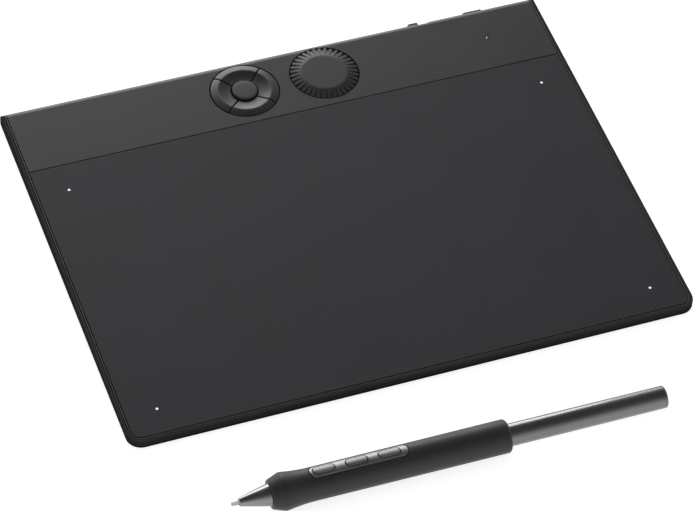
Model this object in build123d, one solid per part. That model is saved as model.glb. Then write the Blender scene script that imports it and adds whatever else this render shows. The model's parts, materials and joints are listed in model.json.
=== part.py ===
"""Wedge-shaped pen tablet with a ribbed dial, five keys and a cordless pen.

Lengths are in millimetres, +X is right, +Y is the rear and +Z is up. The deck is the sloping
top plane of the tablet. A depth is measured down from the deck and square to it. The tablet
is drawn about its own middle, and everything is moved together at the end, so that the origin
lies on the desk below the middle of tablet and pen.
"""
import os
from math import atan2, cos, degrees, radians, sin, sqrt

from build123d import *

# Case
case_width = 215.0
case_depth = 164.5
front_height = 4.0
rear_height = 7.03
foot_height = 0.5
floor_thickness = 0.8
wall_thickness = 1.0
ledge_width = 2.5
front_corner_radius = 5.6
case_bottom_radius = 0.4
case_seam_rise = 1.1
case_top_radius = 0.8
rib_thickness = 1.2
rib_columns = 7
rib_rows = 4
cross_wall_thickness = 2.0

# Panels and bezel that lie in the deck
panel_thickness = 1.2
panel_inset = 2.1
panel_reach = 32.07
groove_width = 0.2
bezel_inset = 1.05
lip_thickness = 0.45
flange_width = 2.25
flange_thickness = 0.4
bezel_setback = 0.3
rear_wall_thickness = 1.1
rear_wall_relief = 0.8
rear_edge_radius = 3.4

# Clearances
seat_gap = 0.1
side_gap = 0.3
running_gap = 0.05
play_gap = 0.05

# Sensing layers below the drawing surface
sensor_thickness = 0.6
shield_thickness = 0.2
sensor_margin = 0.5
shield_setback = 8.0

# Lamps
corner_light_side = 13.65
corner_light_front = 12.6
corner_light_behind = 12.63
corner_light_diameter = 1.0
corner_head_width = 1.8
corner_head_thickness = 0.2
corner_lamp_height = 0.3
status_side = 25.1
status_behind = 16.0
status_diameter = 0.8
status_rod_width = 2.0
lamp_length = 1.0
lamp_width = 0.6
lamp_height = 0.5

# Main board, parallel to the deck
board_depth = 3.8
board_thickness = 0.8
board_column_gap = 2.8
board_side = 10.5
board_wall_gap = 1.07
board_rear_gap = 0.9
chip_height = 0.9
controller_width = 7.0
charger_width = 4.0
memory_width = 3.0
radio_width = 12.0
radio_length = 15.0
radio_board_thickness = 0.6
radio_can_share = 0.8
radio_can_height = 1.3
battery_connector_width = 5.0
battery_connector_length = 4.0
battery_connector_height = 1.8

# Keys
keys_x = -16.0
controls_behind = 15.9
key_hole_radius = 13.5
ring_inner_radius = 5.3
ring_crest_radius = 10.05
crest_height = 0.6
inner_drop = 0.3
slope_sag = 0.12
outer_bulge = 0.06
key_split = 0.3
center_key_radius = 4.85
center_key_height = 0.6
center_edge_radius = 0.4
key_underside = 1.5
key_travel = 0.4
carrier_depth = 2.1
carrier_thickness = 0.6
carrier_reach = 14.2
carrier_rear_reach = 13.2
carrier_post_reach = 12.6
carrier_post_front = 12.4
carrier_post_rear = 11.4
carrier_post_width = 2.2
carrier_stake_width = 1.1
plunger_width = 2.2
guide_width = 1.4
guide_head_width = 2.1
guide_head_thickness = 0.25
ring_stem_radius = 9.3
ring_guide_offset = 3.6
center_guide_offset = 2.8
dome_radius = 2.0
dome_crown_radius = 1.4
dome_height = 0.3

# Dial
dial_x = 16.0
dial_clearance = 0.4
dial_flat_radius = 8.7
dial_rise = 0.55
dial_rim_drop = 0.1
dial_web = 0.9
dial_skirt_depth = 1.9
dial_skirt_thickness = 0.8
dial_groove_count = 36
dial_groove_width = 0.9
dial_groove_start = 9.0
dial_groove_start_depth = 0.03
dial_groove_end_depth = 0.55
post_radius = 3.0
collar_radius = 3.25
collar_thickness = 0.3
hub_radius = 4.6
hub_depth = 2.8
encoder_clearance = 0.8
encoder_top = 3.0
code_ring_inner_radius = 8.0
code_ring_thickness = 0.6
washer_radius = 5.0
washer_thickness = 0.15

# Controls in the rear wall
power_side = 49.25
power_length = 4.1
power_height = 2.0
power_depth = 3.2
power_travel = 2.8
power_reach = 1.2
power_flange_height = 2.4
scoop_offset = 3.05
scoop_length = 5.3
scoop_run = 2.2
scoop_depth = 3.0
pairing_side = 24.75
pairing_length = 7.7
pairing_height = 2.0
pairing_depth = 3.2
pairing_reach = 0.9
pairing_travel = 0.4
control_flange_thickness = 0.5
control_corner_radius = 0.5
switch_height = 1.5
switch_depth = 3.0
lever_width = 0.8

# Data and charging socket
usb_offset = 19.0
usb_depth = 3.45
usb_width = 8.94
usb_height = 3.26
usb_length = 7.35
usb_wall = 0.3
usb_setback = 0.3
tongue_width = 6.69
tongue_thickness = 0.7
tongue_root = 1.0

# Battery beside the main board
battery_side = 9.0
battery_column_gap = 2.9
battery_clearance = 2.385
battery_thickness = 3.5
battery_edge_radius = 1.0
tape_thickness = 0.2
tape_share = 0.8
fence_thickness = 1.0
fence_height = 1.0
lead_diameter = 0.8
lead_pitch = 1.6

# Screws and feet
case_screw_side = 6.3
case_screw_middle = 9.4
case_screw_front = 3.67
case_screw_behind = 4.1
case_screw_radius = 0.8
case_head_radius = 1.5
case_head_height = 0.8
case_boss_width = 5.0
case_boss_height = 1.1
panel_boss_width = 3.8
counterbore_depth = 0.95
screw_engagement = 2.2
board_screw_margin = 3.0
board_screw_radius = 0.7
board_head_radius = 1.3
board_head_height = 0.6
board_screw_depth = 0.55
board_boss_width = 3.6
foot_side = 21.5
foot_end = 11.5
foot_length = 24.0
foot_width = 8.0
foot_recess = 0.3
foot_edge = 0.15

# Flat cable from the sensor board to the main board
flex_x = -2.0
flex_width = 22.0
flex_thickness = 0.15
flex_bend_radius = 0.8
flex_connector_setback = 0.4
flex_connector_length = 3.2
flex_connector_height = 1.0

# Pen: distances from the tip, then radii
pen_tip_side = 24.3
pen_tip_front = 37.3
pen_yaw = 0.05
pen_roll = -8.0
pen_length = 161.3
nib_radius = 0.9
nib_tip_radius = 0.6
nib_tip_length = 0.25
nib_clearance = 0.08
nib_end = 24.9
nib_travel = 0.5
cone_start = 2.8
cone_end = 13.8
cone_tip_radius = 1.5
cone_base_radius = 4.1
grip_start = 13.9
grip_face_radius = 5.2
bulge_at = 18.9
bulge_radius = 6.87
neck_at = 29.4
neck_radius = 5.97
grip_end_radius = 6.09
grip_end = 101.6
grip_end_round = 1.0
grip_bore_radius = 4.55
barrel_radius = 4.5
barrel_bore_radius = 3.3
barrel_end = 99.2
barrel_flat = 3.9
tail_radius = 4.14
tail_bore_radius = 2.6
tail_chamfer = 0.3
tail_cap_thickness = 0.8
tail_cap_spigot = 4.0
tail_overlap = 13.0
core_start = 7.9
core_radius = 1.9
coil_start = 11.4
coil_end = 18.9
coil_radius = 2.7
coil_cover = 6.5
sensor_start = 20.9
sensor_end = 29.9
pen_board_end = 84.9
pen_board_width = 5.4
pen_board_height = 0.9
pen_board_thickness = 0.6
plate_start = 28.2
plate_end = 64.6
plate_width = 5.7
plate_corner_radius = 2.5
plate_underside = 4.98
plate_post_width = 1.6
plate_post_inset = 1.4
button_first = 33.6
button_pitch = 11.975
button_count = 3
button_length = 8.0
button_width = 3.3
button_rise = 0.25
button_flange = 0.35
button_flange_thickness = 0.3
button_travel = 0.4
button_plunger_radius = 1.0
pen_switch_length = 3.0
pen_switch_width = 2.6
pen_switch_height = 1.2
pen_actuator_width = 1.4
pen_actuator_height = 0.3

# Derived sizes
half_width = case_width / 2
half_depth = case_depth / 2
groove_y = half_depth - panel_reach
keys_y = half_depth - controls_behind
dial_y = keys_y
status_x = half_width - status_side
status_y = half_depth - status_behind
power_x = half_width - power_side
scoop_x = power_x + scoop_offset
scoop_front_y = half_depth - scoop_run
pairing_x = half_width - pairing_side
usb_x = dial_x + usb_offset
foot_x = half_width - foot_side
foot_y = half_depth - foot_end
floor_top = foot_height + floor_thickness
seam_height = foot_height + case_seam_rise
ledge_depth = panel_thickness + flange_thickness
ledge_inset = wall_thickness + ledge_width
deck_tilt = degrees(atan2(rear_height - front_height, case_depth))
deck_middle = (front_height + rear_height) / 2
deck = Location((0, 0, deck_middle), (deck_tilt, 0, 0))
low = (Align.CENTER, Align.CENTER, Align.MIN)
high = (Align.CENTER, Align.CENTER, Align.MAX)
everywhere = Rectangle(2 * case_width, 2 * case_depth)
cross_wall_front = groove_y - cross_wall_thickness / 2
cross_wall_rear = groove_y + cross_wall_thickness / 2
shield_bottom = panel_thickness + sensor_thickness + shield_thickness
carrier_bottom = carrier_depth + carrier_thickness
wall_inside = half_depth - rear_wall_thickness
ring_outer_radius = key_hole_radius - side_gap
dial_radius = key_hole_radius - dial_clearance
encoder_radius = dial_radius - dial_skirt_thickness - encoder_clearance
middle_column = keys_x - carrier_reach - case_screw_middle
battery_left = battery_side - half_width
battery_right = middle_column - battery_column_gap
battery_length = battery_right - battery_left
battery_y = (cross_wall_rear + wall_inside) / 2
battery_width = wall_inside - cross_wall_rear - 2 * battery_clearance
board_left = middle_column + board_column_gap
board_right = half_width - board_side
board_front = cross_wall_rear + board_wall_gap
board_rear = wall_inside - board_rear_gap
flex_connector_front = board_front + flex_connector_setback
button_places = [button_first + step * button_pitch for step in range(button_count)]
dome_places = [(keys_x, keys_y)] + [
    (keys_x + ring_stem_radius * cos(radians(turn)), keys_y + ring_stem_radius * sin(radians(turn)))
    for turn in (0, 90, 180, 270)
]
corner_light_places = [
    (side * (half_width - corner_light_side), y)
    for side in (-1, 1) for y in (corner_light_front - half_depth, groove_y - corner_light_behind)
]
case_screw_places = [
    (x, y)
    for x in (case_screw_side - half_width, middle_column, half_width - case_screw_side)
    for y in (cross_wall_rear + case_screw_front, wall_inside - case_screw_behind)
]

pieces = {}


def rectangle(left, right, front, rear, radius=0.0):
    """Flat rectangle between its four limits, with round corners if a radius is given."""
    plan = Pos((left + right) / 2, (front + rear) / 2) * Rectangle(right - left, rear - front)
    return fillet(plan.vertices(), radius) if radius else plan


def disc(place, radius):
    """Flat disc about a place."""
    return Pos(*place) * Circle(radius)


def discs(places, radius):
    """Several equal flat discs as one plan."""
    return Sketch() + [disc(place, radius) for place in places]


def squares(places, width):
    """Several equal flat squares as one plan."""
    return Sketch() + [Pos(*place) * Rectangle(width, width) for place in places]


def slab(plan, top, bottom):
    """Plan drawn on the deck, filled between two depths."""
    return deck * Pos(0, 0, -bottom) * extrude(plan, bottom - top)


def standing(plan, top, base=floor_top):
    """Plan drawn on the desk, raised from a height to a depth below the deck."""
    column = Pos(0, 0, base) * extrude(plan, 2 * rear_height)
    return column - slab(everywhere, top - 4 * rear_height, top)


def pillar(plan, top):
    """Plan drawn on the deck, filled from a depth down into the case floor."""
    return slab(plan, top, top + rear_height) & (Pos(0, 0, foot_height + floor_thickness / 2) * Box(
        2 * case_width, 2 * case_depth, 2 * rear_height, align=low))


def facing_rear(profile, x, depth, front, rear):
    """Profile seen from behind, filled between two distances towards the rear."""
    return deck * Pos(x, rear, -depth) * Rot(90, 0, 0) * extrude(profile, rear - front)


def beyond_rear_edge():
    """Room outside the round rear edge, which every shell that reaches it is cut with."""
    middle = half_depth - rear_edge_radius
    profile = rectangle(middle, case_depth, -rear_edge_radius, rear_height) - disc(
        (middle, -rear_edge_radius), rear_edge_radius)
    return deck * extrude(Plane.YZ * profile, case_width, both=True)


def deck_height(y):
    """Height of the deck over the desk."""
    return deck_middle + y * (rear_height - front_height) / case_depth


def case_plan(inset, rear):
    """Outline of the case, drawn in by an inset, with its two round front corners."""
    plan = rectangle(-half_width + inset, half_width - inset, -half_depth + inset, rear)
    return fillet(plan.vertices().group_by(Axis.Y)[0], front_corner_radius - inset)


def turned(points, middle=(0, 0)):
    """Closed outline of (radius, height) points, turned about an upright axis on the deck."""
    shape = revolve(Plane.XZ * make_face(Polyline(*points, close=True)), Axis.Z)
    return deck * Pos(*middle) * shape


def feet_plan(x_side, y_side, grow=0.0):
    """Outline of one foot, larger all round by a growth."""
    return Pos(x_side * foot_x, y_side * foot_y) * SlotOverall(foot_length + 2 * grow, foot_width + 2 * grow)


# Tablet shells


def bottom_case():
    """Tray with rounded rim, ledge for the bezel, ribs, bosses and foot recesses."""
    case = standing(case_plan(0, half_depth), 0, foot_height)
    case = fillet(case.faces().sort_by(Axis.Z)[0].edges(), case_bottom_radius)
    case = fillet(case.faces().sort_by(Axis.Z)[-1].edges(), case_top_radius)
    case -= beyond_rear_edge()
    case -= slab(case_plan(wall_thickness, case_depth), -rear_height, ledge_depth)
    case -= standing(case_plan(ledge_inset, half_depth - wall_thickness), -1)
    inner = half_width - ledge_inset
    case -= standing(rectangle(-inner, inner, groove_y, case_depth), -1, seam_height)

    # Ribs carry the sensing layers, and the cross wall carries both panel edges
    front = -half_depth + ledge_inset
    ribs = Sketch()
    for column in range(rib_columns):
        x = inner * (2 * (column + 1) / (rib_columns + 1) - 1)
        ribs += rectangle(x - rib_thickness / 2, x + rib_thickness / 2, front, cross_wall_front)
    for row in range(rib_rows):
        y = front + (cross_wall_front - front) * (row + 1) / (rib_rows + 1)
        ribs += rectangle(-inner, inner, y - rib_thickness / 2, y + rib_thickness / 2)
    case += standing(ribs, shield_bottom)
    case += standing(rectangle(-inner, inner, cross_wall_front, cross_wall_rear), panel_thickness)
    window = rectangle(flex_x - flex_width / 2 - side_gap, flex_x + flex_width / 2 + side_gap,
                       cross_wall_front - 1, cross_wall_rear + 1)
    case -= slab(window, panel_thickness + sensor_thickness - side_gap, board_depth + side_gap)

    # A low fence keeps the battery in place
    hold = Pos(battery_left + battery_length / 2, battery_y) * (
        Rectangle(battery_length + 2 * (side_gap + fence_thickness),
                  battery_width + 2 * (side_gap + fence_thickness))
        - Rectangle(battery_length + 2 * side_gap, battery_width + 2 * side_gap)
        - Rectangle(battery_length / 2, 2 * battery_width)
        - Rectangle(2 * battery_length, battery_width / 2))
    case += Pos(0, 0, floor_top) * extrude(hold, fence_height)

    # Bosses for the board screws and for the case screws, with counterbores from below
    board_bottom = board_depth + board_thickness
    case += pillar(squares(board_screw_places(), board_boss_width), board_bottom)
    case -= slab(discs(board_screw_places(), board_screw_radius + running_gap), board_bottom,
                 board_bottom + board_screw_depth + running_gap)
    case += Pos(0, 0, floor_top) * extrude(squares(case_screw_places, case_boss_width), case_boss_height)
    case -= extrude(discs(case_screw_places, case_head_radius + seat_gap), foot_height + counterbore_depth)
    case -= extrude(discs(case_screw_places, case_screw_radius + running_gap), rear_height / 2)
    for x_side in (-1, 1):
        for y_side in (-1, 1):
            case -= extrude(feet_plan(x_side, y_side, seat_gap), foot_height + foot_recess)
    return case


def surface_bezel():
    """Thin lip round three sides on a flange that carries the panels."""
    rear = half_depth - bezel_setback
    outer = case_plan(bezel_inset, rear)
    lip = outer - case_plan(bezel_inset + lip_thickness, case_depth)
    flange = outer - case_plan(bezel_inset + flange_width, case_depth)
    return slab(lip, 0, panel_thickness) + slab(flange, panel_thickness, ledge_depth) - beyond_rear_edge()


def drawing_surface():
    """Matt sheet with a stepped hole for each corner light guide."""
    sheet = slab(case_plan(panel_inset, groove_y - groove_width / 2), 0, panel_thickness)
    sheet -= slab(discs(corner_light_places, corner_light_diameter / 2 + running_gap), -1, panel_thickness)
    pocket_top = panel_thickness - corner_lamp_height - corner_head_thickness
    return sheet - slab(squares(corner_light_places, corner_head_width + 2 * side_gap),
                        pocket_top, panel_thickness)


def control_panel():
    """Moulded rear cover: round openings, rear wall with its openings, posts and bosses."""
    half_panel = half_width - panel_inset
    half_wall = half_width - ledge_inset - seat_gap
    front = groove_y + groove_width / 2
    panel = standing(rectangle(-half_panel, half_panel, front, half_depth), 0, seam_height)
    panel -= beyond_rear_edge()
    hollow = standing(rectangle(-case_width, case_width, 0, wall_inside), panel_thickness, 0)
    panel -= chamfer(hollow.faces().sort_by(Axis.Y)[-1].edges().sort_by(Axis.Z)[-1], rear_wall_relief)
    for side in (-1, 1):
        middle = side * (half_wall + panel_inset)
        beside = rectangle(middle - panel_inset, middle + panel_inset, 0, case_depth)
        panel -= standing(beside, panel_thickness, 0)

    # Posts that carry the key guide plate, each with a stake through it
    posts = carrier_posts()
    panel += slab(squares(posts, carrier_post_width), panel_thickness, carrier_depth)
    panel += slab(squares(posts, carrier_stake_width), panel_thickness, carrier_bottom + seat_gap)
    boss_base = floor_top + case_boss_height
    panel += standing(squares(case_screw_places, panel_boss_width), panel_thickness - play_gap, boss_base)
    bores = extrude(discs(case_screw_places, case_screw_radius + running_gap), screw_engagement + side_gap)
    panel -= Pos(0, 0, boss_base) * bores

    # Openings in the deck and in the rear wall
    rounds = [(keys_x, keys_y), (dial_x, dial_y)]
    panel -= slab(discs(rounds, key_hole_radius), -1, panel_thickness + play_gap)
    panel -= slab(disc((status_x, status_y), status_diameter / 2 + running_gap), -1, 2 * panel_thickness)
    behind = half_depth + 1
    inside = wall_inside - side_gap
    usb_hole = RectangleRounded(usb_width + 2 * side_gap, usb_height + 2 * side_gap, usb_height / 2)
    panel -= facing_rear(usb_hole, usb_x, usb_depth, inside, behind)
    power_hole = RectangleRounded(power_length + power_travel + 2 * seat_gap, power_height + 2 * seat_gap,
                                  control_corner_radius + seat_gap)
    panel -= facing_rear(power_hole, power_x + power_travel / 2, power_depth, inside, behind)
    pairing_hole = RectangleRounded(pairing_length + 2 * seat_gap, pairing_height + 2 * seat_gap,
                                    control_corner_radius + seat_gap)
    panel -= facing_rear(pairing_hole, pairing_x, pairing_depth, inside, behind)

    # Finger scoop over the power switch
    slope = degrees(atan2(scoop_depth, scoop_run))
    scoop = extrude(rectangle(-scoop_length / 2, scoop_length / 2, 0, 3 * scoop_run, scoop_length / 4),
                    rear_height)
    return panel - deck * Pos(scoop_x, scoop_front_y, 0) * Rot(-slope, 0, 0) * scoop


def carrier_posts():
    """Places of the four posts between the control panel and the key guide plate."""
    return [(keys_x + side * carrier_post_reach, keys_y + along)
            for side in (-1, 1) for along in (-carrier_post_front, carrier_post_rear)]


def feet():
    """Four rubber feet in their recesses."""
    for x_side, across in ((-1, "left"), (1, "right")):
        for y_side, along in ((-1, "front"), (1, "rear")):
            foot = extrude(feet_plan(x_side, y_side), foot_height + foot_recess)
            pieces[f"foot_{along}_{across}"] = chamfer(foot.faces().sort_by(Axis.Z)[0].edges(), foot_edge)


# Keys and dial


def guided_stems(plungers, guides):
    """Plungers over the snap domes, and guide pins with heads under the guide plate."""
    root = key_underside - seat_gap
    plunger_end = board_depth - dome_height - key_travel - play_gap
    head_top = carrier_bottom + play_gap
    stems = slab(squares(plungers, plunger_width), root, plunger_end)
    stems += slab(squares(guides, guide_width), root, head_top + guide_head_thickness)
    return stems + slab(squares(guides, guide_head_width), head_top, head_top + guide_head_thickness)


def ring_guides(turn):
    """Places of the two guide pins of the ring key that lies in one direction."""
    spot = Pos(keys_x, keys_y) * Rot(0, 0, turn)
    return [tuple((spot * Pos(ring_stem_radius, side * ring_guide_offset)).position)[:2]
            for side in (-1, 1)]


def center_guides():
    """Places of the two guide pins of the centre key."""
    return [(keys_x + side * center_guide_offset, keys_y) for side in (-1, 1)]


def ring_keys():
    """Four quarters of a crested ring, each with its plunger and guide pins."""
    ring = revolve(Plane.XZ * make_face(Polyline(
        (ring_outer_radius, 0),
        ((ring_outer_radius + ring_crest_radius) / 2, crest_height / 2 + outer_bulge),
        (ring_crest_radius, crest_height),
        ((ring_crest_radius + ring_inner_radius) / 2, (crest_height - inner_drop) / 2 - slope_sag),
        (ring_inner_radius, -inner_drop), (ring_inner_radius, -key_underside),
        (ring_outer_radius, -key_underside), close=True)), Axis.Z)
    apex = key_split / 2 * sqrt(2)
    reach = 2 * ring_outer_radius
    quarter = make_face(Polyline((apex, 0), (apex + reach, reach), (apex + reach, -reach), close=True))
    sides = {"right": 0, "rear": 90, "left": 180, "front": 270}
    for order, (side, turn) in enumerate(sides.items(), start=1):
        wedge = Pos(0, 0, -reach / 2) * extrude(Rot(0, 0, turn) * quarter, reach)
        key = deck * Pos(keys_x, keys_y) * (ring & wedge)
        pieces[f"ring_key_{side}"] = key + guided_stems([dome_places[order]], ring_guides(turn))


def center_key():
    """Round key in the middle of the ring."""
    edge = center_edge_radius
    cap = turned(((0, center_key_height), (center_key_radius - edge, center_key_height),
                  (center_key_radius - edge / 4, center_key_height - edge / 4),
                  (center_key_radius, center_key_height - edge), (center_key_radius, -key_underside),
                  (0, -key_underside)), (keys_x, keys_y))
    return cap + guided_stems(dome_places[:1], center_guides())


def key_carrier():
    """Guide plate below the keys, staked to the control panel."""
    plan = rectangle(keys_x - carrier_reach, keys_x + carrier_reach, keys_y - carrier_reach,
                     keys_y + carrier_rear_reach)
    guides = center_guides()
    for turn in (0, 90, 180, 270):
        guides += ring_guides(turn)
    plan -= squares(guides, guide_width + 2 * running_gap)
    plan -= squares(dome_places, plunger_width + 2 * side_gap)
    plan -= squares(carrier_posts(), carrier_stake_width + 2 * running_gap)
    return slab(plan, carrier_depth, carrier_bottom)


def key_domes():
    """Snap domes on the main board, one below each plunger."""
    leg = RegularPolygon(dome_radius, 8)
    crown = Pos(0, 0, dome_height) * RegularPolygon(dome_crown_radius, 8)
    dome = loft([leg, crown], ruled=True)
    return Part() + [deck * Pos(x, y, -board_depth) * dome for x, y in dome_places]


def dial_knob():
    """Ribbed knob: flat middle, sloping band with radial grooves, skirt and hub."""
    skirt_inner = dial_radius - dial_skirt_thickness
    recess_radius = collar_radius + running_gap
    recess_depth = dial_web + seat_gap + collar_thickness + play_gap
    bore = post_radius + running_gap
    knob = revolve(Plane.XZ * make_face(Polyline(
        (0, dial_rise), (dial_flat_radius, dial_rise), (dial_radius, -dial_rim_drop),
        (dial_radius, -dial_skirt_depth), (skirt_inner, -dial_skirt_depth), (skirt_inner, -dial_web),
        (hub_radius, -dial_web), (hub_radius, -hub_depth), (bore, -hub_depth), (bore, -recess_depth),
        (recess_radius, -recess_depth), (recess_radius, -dial_web), (0, -dial_web), close=True)), Axis.Z)
    floor_start = dial_rise - dial_groove_start_depth
    floor_end = -dial_rim_drop - dial_groove_end_depth
    slope = degrees(atan2(floor_start - floor_end, dial_radius - dial_groove_start))
    groove = Pos(dial_radius / 2, 0) * Rectangle(dial_radius, dial_groove_width)
    cutter = Pos(dial_groove_start, 0, floor_start) * Rot(0, slope, 0) * extrude(groove, dial_skirt_depth)
    turns = [Rot(0, 0, step * 360 / dial_groove_count) for step in range(dial_groove_count)]
    knob -= [turn * cutter for turn in turns]
    return deck * Pos(dial_x, dial_y) * knob


def dial_encoder_base():
    """Fixed base on the main board, with the collared post that the knob turns on."""
    collar_top = dial_web + seat_gap
    return turned(((0, -collar_top), (collar_radius, -collar_top),
                   (collar_radius, -collar_top - collar_thickness),
                   (post_radius, -collar_top - collar_thickness), (post_radius, -encoder_top),
                   (encoder_radius, -encoder_top), (encoder_radius, -board_depth), (0, -board_depth)),
                  (dial_x, dial_y))


def dial_rings():
    """Code ring in the knob and friction washer below its hub."""
    middle = (dial_x, dial_y)
    code = disc(middle, encoder_radius) - disc(middle, code_ring_inner_radius)
    pieces["dial_code_ring"] = slab(code, dial_web, dial_web + code_ring_thickness)
    washer = disc(middle, washer_radius) - disc(middle, post_radius + 2 * seat_gap)
    pieces["dial_friction_washer"] = slab(washer, encoder_top - washer_thickness, encoder_top)


# Controls in the rear wall


def block(left, right, front, rear, top, bottom):
    """Plain block square to the deck."""
    return slab(rectangle(left, right, front, rear), top, bottom)


def power_switch():
    """Slider with its cover flange, and the switch it moves on the main board."""
    flange_rear = wall_inside - seat_gap
    flange_front = flange_rear - control_flange_thickness
    outside = half_depth + power_reach
    face = RectangleRounded(power_length, power_height, control_corner_radius)
    knob = facing_rear(face, power_x, power_depth, flange_rear, outside)
    knob = chamfer(knob.faces().sort_by(Axis.Y)[-1].edges(), seat_gap)
    slot_left = power_x - power_length / 2 - seat_gap
    slot_right = slot_left + power_length + power_travel + 2 * seat_gap
    flange_top = panel_thickness + rear_wall_relief + seat_gap
    knob += block(slot_left - power_travel, slot_right, flange_front, flange_rear, flange_top,
                  flange_top + power_flange_height)
    body_rear = board_rear - 2 * side_gap
    lever_half = lever_width / 2
    lever_top = power_depth - lever_width / 2
    lever_bottom = power_depth + lever_width / 2
    for side in (-1, 1):
        left, right = sorted((power_x + side * lever_half, power_x + side * (lever_half + lever_width)))
        knob += block(left, right, body_rear + side_gap, flange_rear, lever_top, lever_bottom)
    pieces["power_switch_knob"] = knob
    pieces["power_switch_lever"] = block(power_x - lever_half, power_x + lever_half,
                                         body_rear - switch_depth / 2, flange_front - seat_gap,
                                         lever_top, lever_bottom)
    channel_left = power_x - lever_half - side_gap
    channel_right = power_x + lever_half + power_travel + side_gap
    body = block(channel_left - lever_width, channel_right + lever_width, body_rear - switch_depth,
                 body_rear, board_depth - switch_height - lever_width / 2, board_depth)
    pieces["power_switch_body"] = body - block(
        channel_left, channel_right, body_rear - switch_depth / 2 - side_gap, half_depth,
        lever_top - side_gap, lever_bottom + side_gap)


def pairing_controls():
    """Push button in the rear wall, and the side-push switch on the main board."""
    flange_rear = wall_inside - seat_gap
    flange_front = flange_rear - control_flange_thickness
    outside = half_depth + pairing_reach
    face = RectangleRounded(pairing_length, pairing_height, control_corner_radius)
    button = facing_rear(face, pairing_x, pairing_depth, flange_rear, outside)
    button = chamfer(button.faces().sort_by(Axis.Y)[-1].edges(), seat_gap)
    reach = pairing_length / 2 + 2 * side_gap
    flange_top = panel_thickness + rear_wall_relief + seat_gap
    button += block(pairing_x - reach, pairing_x + reach, flange_front, flange_rear, flange_top,
                    board_depth - play_gap)
    nose_rear = flange_front - pairing_travel - play_gap - side_gap
    plunger_front = nose_rear + pairing_travel + play_gap
    button += block(pairing_x - lever_width, pairing_x + lever_width, plunger_front, flange_rear,
                    pairing_depth - lever_width / 2, pairing_depth + lever_width / 2)
    pieces["pairing_button"] = button
    body_rear = nose_rear - lever_width / 2
    switch = block(pairing_x - switch_depth, pairing_x + switch_depth, body_rear - switch_depth, body_rear,
                   board_depth - switch_height - lever_width / 2, board_depth)
    pieces["pairing_switch"] = switch + block(
        pairing_x - lever_width, pairing_x + lever_width, body_rear - play_gap, nose_rear,
        pairing_depth - lever_width / 2, pairing_depth + lever_width / 2)


def usb_socket():
    """Metal shell and the tongue block inside it."""
    rear = half_depth - usb_setback
    front = rear - usb_length
    inner_width = usb_width - 2 * usb_wall
    inner_height = usb_height - 2 * usb_wall
    inner = SlotOverall(inner_width, inner_height)
    wall = SlotOverall(usb_width, usb_height) - inner
    pieces["usb_shell"] = facing_rear(wall, usb_x, usb_depth, front, rear)
    root = front + tongue_root
    tongue = facing_rear(inner, usb_x, usb_depth, front, root)
    pieces["usb_tongue"] = tongue + facing_rear(
        Rectangle(tongue_width, tongue_thickness), usb_x, usb_depth, root - play_gap, rear - tongue_root)


# Boards, lamps and battery


def sensing_layers():
    """Sensor board and its magnetic screen below the drawing surface."""
    half = half_width - ledge_inset - sensor_margin
    front = -half_depth + ledge_inset + sensor_margin
    rear = cross_wall_front - sensor_margin
    bottom = panel_thickness + sensor_thickness
    pieces["sensor_board"] = slab(rectangle(-half, half, front, rear), panel_thickness, bottom)
    screen = rectangle(-half, half, front, rear - shield_setback)
    pieces["sensor_shield"] = slab(screen, bottom, shield_bottom)


def main_board():
    """Controller board with room for the bosses and the sunk socket."""
    plan = rectangle(board_left, board_right, board_front, board_rear)
    reach = usb_width / 2 + seat_gap
    notch_front = half_depth - usb_setback - usb_length - seat_gap
    plan -= rectangle(usb_x - reach, usb_x + reach, notch_front, half_depth)
    plan -= discs(board_screw_places(), board_screw_radius + running_gap)
    return slab(plan, board_depth, board_depth + board_thickness)


def beside_dial(along, across):
    """Place on the board: shares of the way from the dial to its right end, and from front to rear."""
    start = dial_x + encoder_radius
    return start + along * (board_right - start), board_front + across * (board_rear - board_front)


def board_screw_places():
    """Places of the screws near the corners of the board, and of one in its middle."""
    left, right = board_left + board_screw_margin, board_right - board_screw_margin
    front, rear = board_front + board_screw_margin, board_rear - board_screw_margin
    return [(left, front), (left, rear), (beside_dial(0.32, 0)[0], front), (right, front), (right, rear)]


def on_board(left, front, length, width, height):
    """Plain component that stands on the main board."""
    return block(left, left + length, front, front + width, board_depth - height, board_depth)


def board_components():
    """Chips, radio module and connectors of the main board."""
    pieces["main_chips"] = Part() + [
        on_board(*beside_dial(0.21, 0.26), controller_width, controller_width, chip_height),
        on_board(*beside_dial(0.05, 0.41), charger_width, charger_width, chip_height),
        on_board(*beside_dial(0.15, 0.11), memory_width, memory_width, chip_height),
        on_board(*beside_dial(0.63, 0.15), charger_width, charger_width, chip_height),
        on_board(*beside_dial(0.84, 0.26), memory_width, memory_width, chip_height),
    ]
    left, front = beside_dial(0.38, 0.15)
    can_top = board_depth - radio_board_thickness - radio_can_height
    pieces["radio_module"] = on_board(left, front, radio_width, radio_length, radio_board_thickness) + block(
        left + seat_gap, left + radio_width - seat_gap, front + seat_gap,
        front + radio_can_share * radio_length,
        can_top, board_depth - radio_board_thickness)
    pieces["battery_connector"] = on_board(
        board_left + seat_gap, battery_y - battery_connector_width / 2, battery_connector_length,
        battery_connector_width, battery_connector_height)
    pieces["flex_connector"] = on_board(
        flex_x - flex_width / 2 - 1, flex_connector_front, flex_width + 2, flex_connector_length,
        flex_connector_height) - flex_strip(play_gap)


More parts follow.
